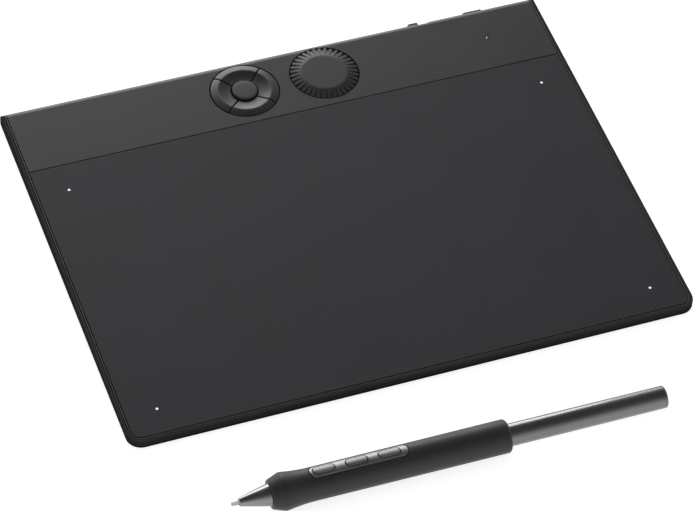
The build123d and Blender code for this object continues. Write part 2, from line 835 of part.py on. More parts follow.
def flex_strip(growth=0.0):
    """Flat cable that dips from below the sensor board to its connector."""
    sensor_bottom = panel_thickness + sensor_thickness
    thickness = flex_thickness + 2 * growth
    upper = -sensor_bottom - flex_thickness / 2
    lower = -board_depth + flex_connector_height / 2
    start = cross_wall_front - sensor_margin - shield_setback / 2
    end = flex_connector_front + flex_connector_length / 2
    middle = cross_wall_rear
    path = FilletPolyline((start, upper), (cross_wall_front, upper), (middle, lower), (end, lower),
                          radius=flex_bend_radius)
    strip = Plane.YZ * trace(path, thickness)
    width = flex_width + 2 * growth
    return deck * Pos(flex_x - width / 2, 0, 0) * extrude(strip, width)


def lamp_at(place, top, bottom):
    """Small lamp at a place on the deck, filled between two depths."""
    return slab(Pos(*place) * Rectangle(lamp_length, lamp_width), top, bottom)


def lamps():
    """Light guides that show in the deck, and the lamps below them."""
    lamp_top = panel_thickness - corner_lamp_height
    stems = slab(discs(corner_light_places, corner_light_diameter / 2), 0, lamp_top)
    heads = slab(squares(corner_light_places, corner_head_width), lamp_top - corner_head_thickness, lamp_top)
    pieces["corner_light_guides"] = stems + heads
    pieces["corner_lights"] = Part() + [
        lamp_at(place, lamp_top, panel_thickness) for place in corner_light_places]
    place = (status_x, status_y)
    guide = slab(disc(place, status_diameter / 2), 0, panel_thickness)
    lamp_top = board_depth - lamp_height
    pieces["status_light_guide"] = guide + slab(squares([place], status_rod_width), panel_thickness, lamp_top)
    pieces["status_light"] = lamp_at(place, lamp_top, board_depth)


def battery_set():
    """Flat battery on its tape, with the two wires to the main board."""
    spot = Pos((battery_left + battery_right) / 2, battery_y, floor_top)
    pieces["battery_tape"] = spot * Box(tape_share * battery_length, tape_share * battery_width,
                                       tape_thickness, align=low)
    cell = Box(battery_length, battery_width, battery_thickness, align=low)
    cell = fillet(cell.edges().filter_by(Axis.Y), battery_edge_radius)
    pieces["battery"] = spot * Pos(0, 0, tape_thickness) * cell
    cell_middle = floor_top + tape_thickness + battery_thickness / 2
    connector_middle = deck_height(battery_y) - board_depth + battery_connector_height / 2
    height = (cell_middle + connector_middle) / 2
    wire = Rot(0, 90, 0) * Cylinder(lead_diameter / 2, board_left + seat_gap - battery_right, align=low)
    pieces["battery_lead"] = Part() + [
        Pos(battery_right, battery_y + side * lead_pitch / 2, height) * wire for side in (-1, 1)]


def screw(radius, length, head_radius, head_height):
    """Screw that points up, with its head below."""
    return Cylinder(radius, length, align=low) + Cylinder(head_radius, head_height, align=high)


def screws():
    """Case screws from below, and board screws from above."""
    seat = foot_height + counterbore_depth
    shank = floor_top + case_boss_height + screw_engagement - seat
    upward = screw(case_screw_radius, shank, case_head_radius, case_head_height)
    pieces["case_screws"] = Part() + [Pos(x, y, seat) * upward for x, y in case_screw_places]
    downward = Rot(180, 0, 0) * screw(board_screw_radius, board_thickness + board_screw_depth,
                                      board_head_radius, board_head_height)
    pieces["board_screws"] = Part() + [
        deck * Pos(x, y, -board_depth) * downward for x, y in board_screw_places()]


# Pen, drawn along +X from its tip and laid on the desk afterwards


def spun(*points):
    """Closed outline of (distance, radius) points, turned about the pen's axis."""
    return revolve(make_face(Polyline(*points, close=True)), Axis.X)


def tube(start, end, outer, inner):
    """Round tube about the pen's axis."""
    return spun((start, inner), (start, outer), (end, outer), (end, inner))


def pen_place():
    """Resting place of the pen: its bulge and the rear of its grip touch the desk."""
    run = grip_end - grip_end_round - bulge_at
    pitch = atan2(bulge_radius - grip_end_radius, run)
    height = bulge_at * sin(pitch) + bulge_radius * cos(pitch)
    tip = Pos(pen_tip_side - half_width, -half_depth - pen_tip_front, height)
    return tip * Rot(0, 0, pen_yaw) * Rot(0, degrees(pitch), 0) * Rot(pen_roll, 0, 0)


def pen_front():
    """Nib, nose cone, core with its winding and the pressure sensor."""
    bore = nib_radius + nib_clearance
    pieces["pen_nib"] = spun((0, 0), (0, nib_tip_radius / 2), (nib_tip_length, nib_tip_radius),
                             (cone_start, nib_radius), (nib_end, nib_radius), (nib_end, 0))
    spigot = barrel_bore_radius - running_gap
    spigot_end = coil_start + coil_cover
    coil_room = coil_radius + running_gap
    core_room = core_radius + running_gap
    pieces["pen_nose_cone"] = spun(
        (cone_start, bore), (cone_start, cone_tip_radius), (cone_end, cone_base_radius), (cone_end, spigot),
        (spigot_end, spigot), (spigot_end, coil_room), (coil_start - seat_gap, coil_room),
        (coil_start - seat_gap, core_room), (core_start - seat_gap, core_room), (core_start - seat_gap, bore))
    pieces["pen_ferrite_core"] = tube(core_start, sensor_start, core_radius, bore)
    pieces["pen_coil"] = tube(coil_start, coil_end, coil_radius, core_radius)
    room = nib_end + nib_travel + seat_gap
    pieces["pen_pressure_sensor"] = spun((sensor_start, bore), (sensor_start, spigot), (sensor_end, spigot),
                                         (sensor_end, 0), (room, 0), (room, bore))


def pen_shells():
    """Grip, inner barrel, tail shaft and tail cap."""
    lip = barrel_bore_radius + running_gap
    inner_start = grip_start + 1
    tail_way = tail_radius + running_gap
    waist = [
        (neck_at - share * (neck_at - bulge_at), neck_radius + share ** 2 * (bulge_radius - neck_radius))
        for share in (1, 2 / 3, 1 / 3, 0)]
    shoulder = grip_end_round * (1 - sqrt(0.5))
    grip = spun(
        (grip_start, lip), (grip_start, grip_face_radius), *waist,
        (grip_end - grip_end_round, grip_end_radius), (grip_end - shoulder, grip_end_radius - shoulder),
        (grip_end, grip_end_radius - grip_end_round), (grip_end, tail_way), (barrel_end + seat_gap, tail_way),
        (barrel_end + seat_gap, grip_bore_radius), (inner_start, grip_bore_radius), (inner_start, lip))
    middle = (plate_start + plate_end) / 2
    length = plate_end - plate_start
    opening = Pos(middle, 0) * RectangleRounded(length, plate_width, plate_corner_radius)
    pieces["pen_grip"] = grip - extrude(opening, 2 * bulge_radius)

    barrel = tube(inner_start, barrel_end, barrel_radius, barrel_bore_radius)
    flat = Box(length + 2 * side_gap, 2 * barrel_radius, barrel_radius, align=low)
    barrel -= Pos(middle, 0, barrel_flat) * flat
    holes = Sketch() + [Pos(s, 0) * Circle(button_plunger_radius + side_gap) for s in button_places]
    pieces["pen_barrel"] = barrel - extrude(holes, 2 * barrel_radius)

    spigot = barrel_bore_radius - running_gap
    shaft_end = pen_length - tail_cap_thickness
    pieces["pen_tail_shaft"] = spun(
        (barrel_end - tail_overlap, tail_bore_radius), (barrel_end - tail_overlap, spigot),
        (barrel_end + seat_gap, spigot),
        (barrel_end + seat_gap, tail_radius), (shaft_end, tail_radius), (shaft_end, tail_bore_radius))
    pieces["pen_tail_cap"] = spun(
        (shaft_end - tail_cap_spigot, 0), (shaft_end - tail_cap_spigot, tail_bore_radius - running_gap),
        (shaft_end, tail_bore_radius - running_gap), (shaft_end, tail_radius),
        (pen_length - tail_chamfer, tail_radius), (pen_length, tail_radius - tail_chamfer), (pen_length, 0))


def pen_controls():
    """Button plate, three buttons, and the board with their switches."""
    middle = (plate_start + plate_end) / 2
    length = plate_end - plate_start - 2 * seat_gap
    width = plate_width - 2 * seat_gap
    plan = Pos(middle, 0) * RectangleRounded(length, width, plate_corner_radius - seat_gap)
    window = SlotOverall(button_length + 2 * seat_gap, button_width + 2 * seat_gap)
    windows = Sketch() + [Pos(s, 0) * window for s in button_places]
    skin = Pos(middle, 0) * Rot(0, 90, 0) * Cylinder(grip_end_radius - play_gap, 2 * length)
    plate = (Pos(0, 0, plate_underside) * extrude(plan - windows, bulge_radius)) & skin
    gaps = [(first + second) / 2 for first, second in zip(button_places, button_places[1:])]
    posts = squares([(s, 0) for s in gaps + [plate_end - plate_post_inset]], plate_post_width)
    pieces["pen_button_plate"] = plate + Pos(0, 0, barrel_flat) * extrude(
        posts, plate_underside - barrel_flat + seat_gap)

    board_top = pen_board_height + pen_board_thickness
    plunger_base = board_top + pen_switch_height + pen_actuator_height + button_travel + play_gap
    flange_base = plate_underside - play_gap - button_flange_thickness
    crown = Rot(0, 90, 0) * Cylinder(grip_end_radius - play_gap + button_rise, 2 * button_length)
    for name, s in zip(("front", "middle", "rear"), button_places):
        outline = SlotOverall(button_length, button_width)
        cap = (Pos(0, 0, flange_base) * extrude(outline, bulge_radius)) & crown
        flange = SlotOverall(button_length + 2 * button_flange, button_width + 2 * button_flange)
        cap += Pos(0, 0, flange_base) * extrude(flange, button_flange_thickness)
        plunger = Cylinder(button_plunger_radius, flange_base - plunger_base + seat_gap, align=low)
        cap += Pos(0, 0, plunger_base) * plunger
        pieces[f"pen_button_{name}"] = Pos(s, 0, 0) * cap

    board_middle = (sensor_end + pen_board_end) / 2
    pieces["pen_circuit_board"] = Pos(board_middle, 0, pen_board_height) * Box(
        pen_board_end - sensor_end, pen_board_width, pen_board_thickness, align=low)
    switch = Box(pen_switch_length, pen_switch_width, pen_switch_height, align=low)
    switch += Pos(0, 0, pen_switch_height) * Box(pen_actuator_width, pen_actuator_width, pen_actuator_height,
                                                 align=low)
    pieces["pen_button_switches"] = Part() + [Pos(s, 0, board_top) * switch for s in button_places]


def build():
    """Make every piece, then move all of them into the shared frame."""
    pieces["bottom_case"] = bottom_case()
    pieces["surface_bezel"] = surface_bezel()
    pieces["drawing_surface"] = drawing_surface()
    pieces["control_panel"] = control_panel()
    feet()
    ring_keys()
    pieces["center_key"] = center_key()
    pieces["key_carrier"] = key_carrier()
    pieces["key_domes"] = key_domes()
    pieces["dial_knob"] = dial_knob()
    pieces["dial_encoder_base"] = dial_encoder_base()
    dial_rings()
    power_switch()
    pairing_controls()
    usb_socket()
    sensing_layers()
    pieces["main_board"] = main_board()
    board_components()
    pieces["flex_cable"] = flex_strip()
    lamps()
    battery_set()
    screws()

    tablet_names = set(pieces)
    pen_front()
    pen_shells()
    pen_controls()
    laid = pen_place()
    for name in pieces:
        if name not in tablet_names:
            pieces[name] = laid * pieces[name]

    rear = pieces["power_switch_knob"].bounding_box().max.Y
    front = pieces["pen_grip"].bounding_box().min.Y
    shift = Pos(0, -(front + rear) / 2, 0)
    os.makedirs("parts", exist_ok=True)
    for name, piece in pieces.items():
        export_step(shift * piece, f"parts/{name}.step")


build()
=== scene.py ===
"""Looks of the pen tablet and its pen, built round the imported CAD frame.

Sizes of pieces are in millimetres, as on a drawing, and become metres where a mesh is made.
Depths and rises are measured square to the deck, the sloping top plane of the tablet.
"""
from __future__ import annotations

import json
import logging
import math
from abc import ABC, abstractmethod
from dataclasses import dataclass
from enum import Enum
from typing import Callable, Iterable, Sequence

import bmesh
import bpy
from mathutils import Matrix, Vector

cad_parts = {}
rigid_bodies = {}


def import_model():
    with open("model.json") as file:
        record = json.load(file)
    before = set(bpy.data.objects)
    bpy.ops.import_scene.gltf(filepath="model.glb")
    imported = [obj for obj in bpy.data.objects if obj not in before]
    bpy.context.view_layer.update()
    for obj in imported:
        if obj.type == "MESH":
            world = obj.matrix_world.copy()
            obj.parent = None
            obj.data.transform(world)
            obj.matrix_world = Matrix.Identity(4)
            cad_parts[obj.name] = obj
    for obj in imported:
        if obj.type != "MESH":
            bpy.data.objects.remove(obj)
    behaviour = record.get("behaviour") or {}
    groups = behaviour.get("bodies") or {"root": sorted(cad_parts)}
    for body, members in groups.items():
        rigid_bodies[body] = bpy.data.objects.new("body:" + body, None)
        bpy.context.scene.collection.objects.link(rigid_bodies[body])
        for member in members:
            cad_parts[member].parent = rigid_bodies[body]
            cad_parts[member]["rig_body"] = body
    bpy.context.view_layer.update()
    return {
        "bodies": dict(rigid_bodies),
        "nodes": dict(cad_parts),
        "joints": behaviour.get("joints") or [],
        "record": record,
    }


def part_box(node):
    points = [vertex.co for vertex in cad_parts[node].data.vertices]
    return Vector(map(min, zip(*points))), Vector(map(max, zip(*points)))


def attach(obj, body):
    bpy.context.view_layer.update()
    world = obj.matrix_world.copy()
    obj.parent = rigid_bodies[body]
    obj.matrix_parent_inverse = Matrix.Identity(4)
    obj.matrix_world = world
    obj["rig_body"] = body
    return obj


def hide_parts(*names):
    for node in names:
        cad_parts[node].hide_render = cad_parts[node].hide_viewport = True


log = logging.getLogger("tablet")
MM = 0.001
HAIR = 0.001  # least run, in millimetres, that keeps the ends of an outline apart
Triple = tuple[float, float, float]
Colour = Triple
Point = tuple[float, float]
Grid = list[list[Vector]]
Placing = Callable[[float, float, float], Vector]


class Look(Enum):
    """How a piece is shaded: smooth, but sharp where faces meet at more than an angle."""

    CREASED = math.radians(32)
    TIGHT = math.radians(24)

    def shade(self, data: bpy.types.Mesh) -> None:
        """Shade a mesh."""
        data.shade_smooth()
        data.set_sharp_from_angle(angle=self.value)


# Shader maths


class Value:
    """A shader socket that takes part in Python arithmetic."""

    def __init__(self, tree: ShaderTree, socket: bpy.types.NodeSocket | None) -> None:
        """Wrap an output socket of a tree."""
        self.tree = tree
        self.socket = socket

    def __add__(self, other: Value | float) -> Value:
        """Sum."""
        return self.tree.math("ADD", self, other)

    def __radd__(self, other: float) -> Value:
        """Sum with a number on the left."""
        return self.tree.math("ADD", other, self)

    def __mul__(self, other: Value | float) -> Value:
        """Product."""
        return self.tree.math("MULTIPLY", self, other)

    def __rmul__(self, other: float) -> Value:
        """Product with a number on the left."""
        return self.tree.math("MULTIPLY", other, self)


class ShaderTree:
    """Builds the nodes of one material or world."""

    def __init__(self, tree: bpy.types.NodeTree) -> None:
        """Start from an empty tree."""
        self.tree = tree
        tree.nodes.clear()

    def add(self, kind: str, settings: dict | None = None, inputs: dict | None = None,
            output: int | str = 0) -> Value:
        """Add a node.

        Args:
            kind: The node's type name.
            settings: Its own settings, set first. A ramp's stops are given as "stops".
            inputs: Values or links by socket name or index.
            output: The output socket to return.

        Returns:
            The chosen output.
        """
        node = self.tree.nodes.new(kind)
        for name, setting in (settings or {}).items():
            if name == "stops":
                elements = node.color_ramp.elements
                while len(elements) < len(setting):
                    elements.new(0.5)
                for element, (place, colour) in zip(elements, setting):
                    element.position = place
                    element.color = (*colour, 1.0)
            else:
                setattr(node, name, setting)
        for name, value in (inputs or {}).items():
            socket = node.inputs[name]
            if isinstance(value, Value):
                self.tree.links.new(value.socket, socket)
            elif isinstance(value, tuple) and len(value) == 3 and socket.type == "RGBA":
                socket.default_value = (*value, 1.0)
            else:
                socket.default_value = value
        return Value(self, node.outputs[output] if node.outputs else None)

    def math(self, operation: str, first: Value | float, second: Value | float) -> Value:
        """Result of a Math node."""
        return self.add("ShaderNodeMath", {"operation": operation}, {0: first, 1: second})

    def place(self) -> Value:
        """Object coordinates of the shaded point."""
        return self.add("ShaderNodeTexCoord", output="Object")

    def height(self, direction: Value) -> Value:
        """Third coordinate of a vector."""
        return self.add("ShaderNodeSeparateXYZ", {}, {"Vector": direction}, output="Z")

    def ray(self, kind: str) -> Value:
        """1 for light rays of a kind, such as Camera, and 0 for the others."""
        return self.add("ShaderNodeLightPath", output=f"Is {kind} Ray")

    def noise(self, size_mm: float, detail: float = 2.0, stretch: Triple = (1.0, 1.0, 1.0)) -> Value:
        """Noise of a real size.

        Args:
            size_mm: Distance between neighbouring spots.
            detail: Finer layers.
            stretch: Scale along each axis.

        Returns:
            The noise, from 0 to 1.
        """
        place = self.add("ShaderNodeMapping", {}, {"Vector": self.place(), "Scale": stretch})
        return self.add("ShaderNodeTexNoise", {}, {
            "Vector": place, "Scale": 1.0 / (size_mm * MM), "Detail": detail, "Roughness": 0.55})

    def cells(self, size_mm: float, feature: str) -> Value:
        """Distances in a pattern of cells of a real size."""
        return self.add("ShaderNodeTexVoronoi", {"feature": feature}, {
            "Vector": self.place(), "Scale": 1.0 / (size_mm * MM)})

    def mix(self, factor: Value, first: Value | Colour, second: Value | Colour) -> Value:
        """Blend of two colours, by the share of the second one."""
        return self.add("ShaderNodeMix", {"data_type": "RGBA", "blend_type": "MIX"},
                        {0: factor, 6: first, 7: second}, output=2)

    def between(self, value: Value, low: float, high: float, start: float = 0.0, end: float = 1.0) -> Value:
        """Value that goes from start to end, clamped, while another goes from low to high."""
        return self.add("ShaderNodeMapRange", {"clamp": True}, {
            "Value": value, "From Min": low, "From Max": high, "To Min": start, "To Max": end})

    def bump(self, height: Value, strength: float, depth_mm: float) -> Value:
        """Normals of a surface with a height pattern."""
        return self.add("ShaderNodeBump", {}, {
            "Strength": strength, "Distance": depth_mm * MM, "Height": height})


def new_material(name: str) -> tuple[bpy.types.Material, ShaderTree]:
    """Empty material with its tree builder.

    Args:
        name: The material's name.

    Returns:
        The material and the builder of its tree.
    """
    material = bpy.data.materials.new(name)
    material.use_nodes = True
    return material, ShaderTree(material.node_tree)


def tinted(colour: Colour, factor: float) -> Colour:
    """Colour made lighter or darker by a factor."""
    return (colour[0] * factor, colour[1] * factor, colour[2] * factor)


# Finishes


@dataclass(frozen=True)
class Finish(ABC):
    """What all finishes share: a main colour, and a name that is the record's slot for all but one."""

    name: str
    colour: Colour

    @abstractmethod
    def sockets(self, tree: ShaderTree) -> dict[str, Value | float]:
        """Values and links of the shader's sockets.

        Args:
            tree: The material's tree.

        Returns:
            The sockets by name.
        """

    def tones(self, tree: ShaderTree, factor: Value, low: float, high: float) -> Value:
        """Colour that varies between two brightnesses."""
        return tree.mix(factor, tinted(self.colour, low), tinted(self.colour, high))

    def material(self) -> bpy.types.Material:
        """Build the material.

        Returns:
            The material.
        """
        material, tree = new_material(self.name)
        tree.add("ShaderNodeOutputMaterial", {}, {
            "Surface": tree.add("ShaderNodeBsdfPrincipled", {}, self.sockets(tree))})
        return material


@dataclass(frozen=True)
class MouldedPlastic(Finish):
    """Moulded plastic with a fine spark-eroded grain, faint tone changes and, where set, painted shade
    towards the bottom.
    """

    roughness: float = 0.5
    grain_mm: float = 0.22
    grain_depth: float = 0.25
    cloud: float = 0.10
    specular: float = 0.5
    coat: float = 0.0
    metallic: float = 0.0
    # Painted shade: share of the colour left at the bottom, and the height in millimetres over which the
    # shade fades out.
    painted_shade_tone: float = 1.0
    painted_shade_rise: float = 4.0

    def sockets(self, tree: ShaderTree) -> dict[str, Value | float]:
        """Grain, clouds and, where set, painted shade that darkens the colour towards the bottom.

        Args:
            tree: The material's tree.

        Returns:
            The sockets by name.
        """
        grain = tree.noise(self.grain_mm, 3.0)
        cloud = tree.noise(self.grain_mm * 60.0)
        tone = tree.between(grain * 0.5 + cloud * 0.5, 0.35, 0.65)
        colour = self.tones(tree, tone, 1.0 - self.cloud, 1.0 + self.cloud)
        # Painted shade: the base colour darkens towards the bottom and stands in for the shade on the lower
        # wall.
        if self.painted_shade_tone != 1.0:
            rise = tree.between(tree.height(tree.place()), 0.0, self.painted_shade_rise * MM)
            colour = tree.mix(rise, tinted(self.colour, self.painted_shade_tone), colour)
        return {"Base Color": colour,
                "Roughness": tree.between(cloud + grain * 0.4, 0.4, 1.0,
                                          self.roughness - 0.04, self.roughness + 0.06),
                "Metallic": self.metallic,
                "Specular IOR Level": self.specular,
                "Coat Weight": self.coat,
                "Normal": tree.bump(grain, self.grain_depth, 0.02)}


@dataclass(frozen=True)
class DrawingFilm(Finish):
    """Matt writing film: paper-like tooth and a faint haze."""

    roughness: float = 0.58
    tooth_mm: float = 0.16
    haze_mm: float = 34.0
    specular: float = 0.35

    def sockets(self, tree: ShaderTree) -> dict[str, Value | float]:
        """Haze in the colour and tooth in the surface.

        Args:
            tree: The material's tree.

        Returns:
            The sockets by name.
        """
        tooth = tree.noise(self.tooth_mm, 4.0)
        speck = tree.cells(self.tooth_mm * 1.6, "F1")
        haze = tree.noise(self.haze_mm, 3.0)
        tone = tree.between(haze * 0.7 + tooth * 0.3, 0.38, 0.62)
        return {"Base Color": self.tones(tree, tone, 0.93, 1.07),
                "Roughness": tree.between(tooth, 0.3, 0.7, self.roughness - 0.03, self.roughness + 0.05),
                "Specular IOR Level": self.specular,
                "Normal": tree.bump(tooth * 0.7 + speck * 0.3, 0.35, 0.015)}


@dataclass(frozen=True)
class SoftTouch(Finish):
    """Rubbery coating: very fine grain and a soft sheen at grazing angles."""

    roughness: float = 0.62
    sheen: float = 0.25
    dust_mm: float = 0.12
    cloud_mm: float = 9.0

    def sockets(self, tree: ShaderTree) -> dict[str, Value | float]:
        """Clouds in the colour, dust in the surface, and the sheen.

        Args:
            tree: The material's tree.

        Returns:
            The sockets by name.
        """
        dust = tree.noise(self.dust_mm, 3.0)
        cloud = tree.noise(self.cloud_mm)
        return {"Base Color": self.tones(tree, tree.between(cloud, 0.35, 0.65), 0.92, 1.08),
                "Roughness": tree.between(cloud * 0.6 + dust * 0.4, 0.35, 0.65,
                                          self.roughness - 0.05, self.roughness + 0.05),
                "Sheen Weight": self.sheen,
                "Sheen Roughness": 0.4,
                "Normal": tree.bump(dust, 0.2, 0.01)}


class Brush(Enum):
    """Direction in which a metal is drawn or brushed."""

    NONE = (1.0, 1.0, 1.0)
    ALONG_X = (0.03, 1.0, 1.0)
    ALONG_Y = (1.0, 0.03, 1.0)


@dataclass(frozen=True)
class Metal(Finish):
    """Bare, plated or anodised metal with drawn streaks."""

    roughness: float = 0.3
    brush: Brush = Brush.NONE
    streak_mm: float = 0.3

    def sockets(self, tree: ShaderTree) -> dict[str, Value | float]:
        """Streaks along the brush, and stains.

        Args:
            tree: The material's tree.

        Returns:
            The sockets by name.
        """
        streak = tree.noise(self.streak_mm, 3.0, self.brush.value)
        stain = tree.noise(self.streak_mm * 25.0)
        tone = tree.between(streak * 0.5 + stain * 0.5, 0.35, 0.65)
        return {"Base Color": self.tones(tree, tone, 0.9, 1.1),
                "Roughness": tree.between(streak, 0.3, 0.7, self.roughness - 0.05, self.roughness + 0.07),
                "Metallic": 1.0,
                "Normal": tree.bump(streak, 0.12, 0.01)}


@dataclass(frozen=True)
class LitGuide(Finish):
    """Milky light guide that glows a little."""

    glow: float
    milk_mm: float = 0.3

    def sockets(self, tree: ShaderTree) -> dict[str, Value | float]:
        """Milk in the colour and in the glow.

        Args:
            tree: The material's tree.

        Returns:
            The sockets by name.
        """
        milk = tree.noise(self.milk_mm)
        return {"Base Color": self.tones(tree, milk, 0.9, 1.0),
                "Roughness": tree.between(milk, 0.3, 0.7, 0.25, 0.4),
                "Emission Color": self.tones(tree, milk, 0.85, 1.0),
                "Emission Strength": self.glow}


@dataclass(frozen=True)
class Laminate(Finish):
    """Circuit board: solder mask over fine copper tracks."""

    track_mm: float = 1.6
    weave_mm: float = 0.4
    track_tone: float = 2.4

    def sockets(self, tree: ShaderTree) -> dict[str, Value | float]:
        """Weave of the board and the tracks over it.

        Args:
            tree: The material's tree.

        Returns:
            The sockets by name.
        """
        weave = tree.noise(self.weave_mm)
        track = tree.between(tree.cells(self.track_mm, "DISTANCE_TO_EDGE"), 0.03, 0.06, 1.0, 0.0)
        return {"Base Color": tree.mix(track * 0.8, self.tones(tree, weave, 0.8, 1.0),
                                       tinted(self.colour, self.track_tone)),
                "Roughness": tree.between(weave, 0.3, 0.7, 0.3, 0.45),
                "Normal": tree.bump(track, 0.3, 0.02)}


FINISHES: tuple[Finish, ...] = (
    # The case's colour holds painted shade that darkens its lower wall towards the bottom edge.
    MouldedPlastic("case_plastic", (0.048, 0.048, 0.049), 0.5, 0.2, 0.2, specular=0.0,
                   painted_shade_tone=0.05, painted_shade_rise=2.3),
    MouldedPlastic("bezel_plastic", (0.085, 0.085, 0.087), 0.4, 0.2, 0.15, specular=0.3),
    DrawingFilm("sheet_plastic", (0.0187, 0.0182, 0.0232)),
    MouldedPlastic("panel_plastic", (0.024, 0.024, 0.0252), 0.4, 0.2, 0.2, 0.05, 0.38),
    MouldedPlastic("key_plastic", (0.019, 0.019, 0.02), 0.36, 0.18, 0.12, 0.05),
    MouldedPlastic("dial_plastic", (0.02, 0.02, 0.021), 0.38, 0.18, 0.12, 0.05, 0.42),
    MouldedPlastic("control_plastic", (0.03, 0.03, 0.031), 0.4),
    LitGuide("guide_plastic", (0.9, 0.92, 0.95), 0.55),
    SoftTouch("foot_rubber", (0.02, 0.02, 0.021), 0.75, 0.1),
    Metal("screw_steel", (0.16, 0.16, 0.165), 0.4),
    Laminate("board_laminate", (0.008, 0.05, 0.022)),
    Metal("screen_steel", (0.5, 0.5, 0.5), 0.45, Brush.ALONG_X),
    MouldedPlastic("chip_resin", (0.015, 0.015, 0.016), 0.6),
    Metal("module_tin", (0.6, 0.6, 0.58), 0.35, Brush.ALONG_Y),
    MouldedPlastic("connector_plastic", (0.62, 0.6, 0.54)),
    Metal("socket_steel", (0.58, 0.58, 0.6), 0.28, Brush.ALONG_Y),
    MouldedPlastic("socket_plastic", (0.012, 0.012, 0.013)),
    Metal("cell_foil", (0.5, 0.51, 0.53), 0.35, Brush.ALONG_X, 0.8),
    MouldedPlastic("tape_film", (0.6, 0.6, 0.56), 0.6),
    MouldedPlastic("lead_sleeve", (0.4, 0.02, 0.02), 0.4),
    MouldedPlastic("flex_film", (0.5, 0.22, 0.04), 0.35),
    MouldedPlastic("switch_plastic", (0.02, 0.02, 0.022)),
    MouldedPlastic("carrier_plastic", (0.03, 0.03, 0.034), 0.55),
    Metal("dome_steel", (0.62, 0.62, 0.62), 0.25),
    MouldedPlastic("code_magnet", (0.05, 0.045, 0.045), 0.6),
    SoftTouch("washer_felt", (0.2, 0.2, 0.21), 0.9, 0.5),
    LitGuide("lamp_resin", (0.85, 0.8, 0.62), 0.0),
    SoftTouch("grip_rubber", (0.021, 0.021, 0.0215), 0.5, 0.12),
    MouldedPlastic("cone_plastic", (0.26, 0.26, 0.265), 0.24, 0.2, 0.1, metallic=0.9),
    MouldedPlastic("nib_plastic", (0.92, 0.92, 0.92), 0.4),
    MouldedPlastic("plate_plastic", (0.24, 0.24, 0.245), 0.36, 0.35, 0.6, 0.25, metallic=0.8),
    MouldedPlastic("pen_button_plastic", (0.2, 0.2, 0.204), 0.36, 0.35, 0.6, 0.25, metallic=0.8),
    MouldedPlastic("tail_metal", (0.17, 0.17, 0.175), 0.24, 0.2, 0.08, coat=0.6, metallic=0.85),
    MouldedPlastic("barrel_plastic", (0.03, 0.03, 0.033)),
    MouldedPlastic("ferrite", (0.04, 0.038, 0.036), 0.7),
    Metal("copper_wire", (0.7, 0.28, 0.12), 0.3, Brush.ALONG_Y, 0.12),
)


# Meshes


def linked(name: str, data: bpy.types.ID) -> bpy.types.Object:
    """New object in the scene.

    Args:
        name: The object's name.
        data: Its mesh, camera or lamp.

    Returns:
        The object, at the origin.
    """
    made = bpy.data.objects.new(name, data)
    bpy.context.scene.collection.objects.link(made)
    return made


class Mesh:
    """Collects vertices and faces in millimetres."""

    def __init__(self) -> None:
        """Start empty."""
        self.vertices: list[Vector] = []
        self.faces: list[Sequence[int]] = []

    def loop(self, points: Iterable[Vector]) -> list[int]:
        """Add points and return their numbers.

        Args:
            points: The points, in order.

        Returns:
            Their numbers.
        """
        first = len(self.vertices)
        self.vertices.extend(points)
        return list(range(first, len(self.vertices)))

    def bridge(self, lower: Sequence[int], upper: Sequence[int], closed: bool = True) -> None:
        """Join two loops of equal length with quads.

        Args:
            lower: First loop.
            upper: Second loop.
            closed: Whether the last point joins the first.
        """
        count = len(lower)
        for step in range(count if closed else count - 1):
            after = (step + 1) % count
            self.faces.append((lower[step], lower[after], upper[after], upper[step]))

    def stack(self, loops: Iterable[Iterable[Vector]]) -> Mesh:
        """Join closed loops in order and close both ends.

        Args:
            loops: Loops of equal length, from one end to the other.

        Returns:
            This mesh.
        """
        rings = [self.loop(points) for points in loops]
        for lower, upper in zip(rings, rings[1:]):
            self.bridge(lower, upper)
        self.faces += [rings[0][::-1], rings[-1]]
        return self

    def patch(self, top: Grid, bottom: Grid) -> Mesh:
        """Closed body between two grids with the same rows and columns.

        Args:
            top: Upper grid, by rows.
            bottom: Lower grid.

        Returns:
            This mesh.
        """
        upper = [self.loop(row) for row in top]
        lower = [self.loop(row) for row in bottom]
        for row in range(len(top) - 1):
            for column in range(len(top[0]) - 1):
                a, b = upper[row], upper[row + 1]
                self.faces.append((a[column], a[column + 1], b[column + 1], b[column]))
                a, b = lower[row], lower[row + 1]
                self.faces.append((a[column], b[column], b[column + 1], a[column + 1]))
        for edge in (0, -1):
            self.bridge(upper[edge], lower[edge], closed=False)
        for edge in (0, -1):
            self.bridge([row[edge] for row in upper], [row[edge] for row in lower], closed=False)
        return self

    def build(self, name: str, place: Matrix | None = None) -> bpy.types.Object:
        """Make the object, with outward faces, at the origin.

        Args:
            name: The object's name.
            place: Where the mesh goes, in metres.

        Returns:
            The new object.
        """
        data = bpy.data.meshes.new(name)
        data.from_pydata([vertex * MM for vertex in self.vertices], [], self.faces)
        solid = bmesh.new()
        solid.from_mesh(data)
        bmesh.ops.remove_doubles(solid, verts=solid.verts, dist=1e-7)
        bmesh.ops.recalc_face_normals(solid, faces=solid.faces)
        solid.to_mesh(data)
        solid.free()
        if place is not None:
            data.transform(place)
        return linked(name, data)


def lathe(profile: Sequence[Point], segments: int = 128) -> Mesh:
    """Closed outline turned about +Z.

    Args:
        profile: (radius, height) points round the outline. Points on the axis have radius 0.
        segments: Steps round the axis.

    Returns:
        The turned mesh.
    """
    mesh = Mesh()
    rings = []
    for radius, height in profile:
        if radius == 0:
            rings.append(mesh.loop([Vector((0, 0, height))]) * segments)
        else:
            rings.append(mesh.loop(
                Vector((radius * math.cos(turn), radius * math.sin(turn), height))
                for turn in (2 * math.pi * step / segments for step in range(segments))))
    for lower, upper in zip(rings, rings[1:] + rings[:1]):
        for step in range(segments):
            after = (step + 1) % segments
            corners = list(dict.fromkeys((lower[step], lower[after], upper[after], upper[step])))
            if len(corners) > 2:
                mesh.faces.append(corners)
    return mesh


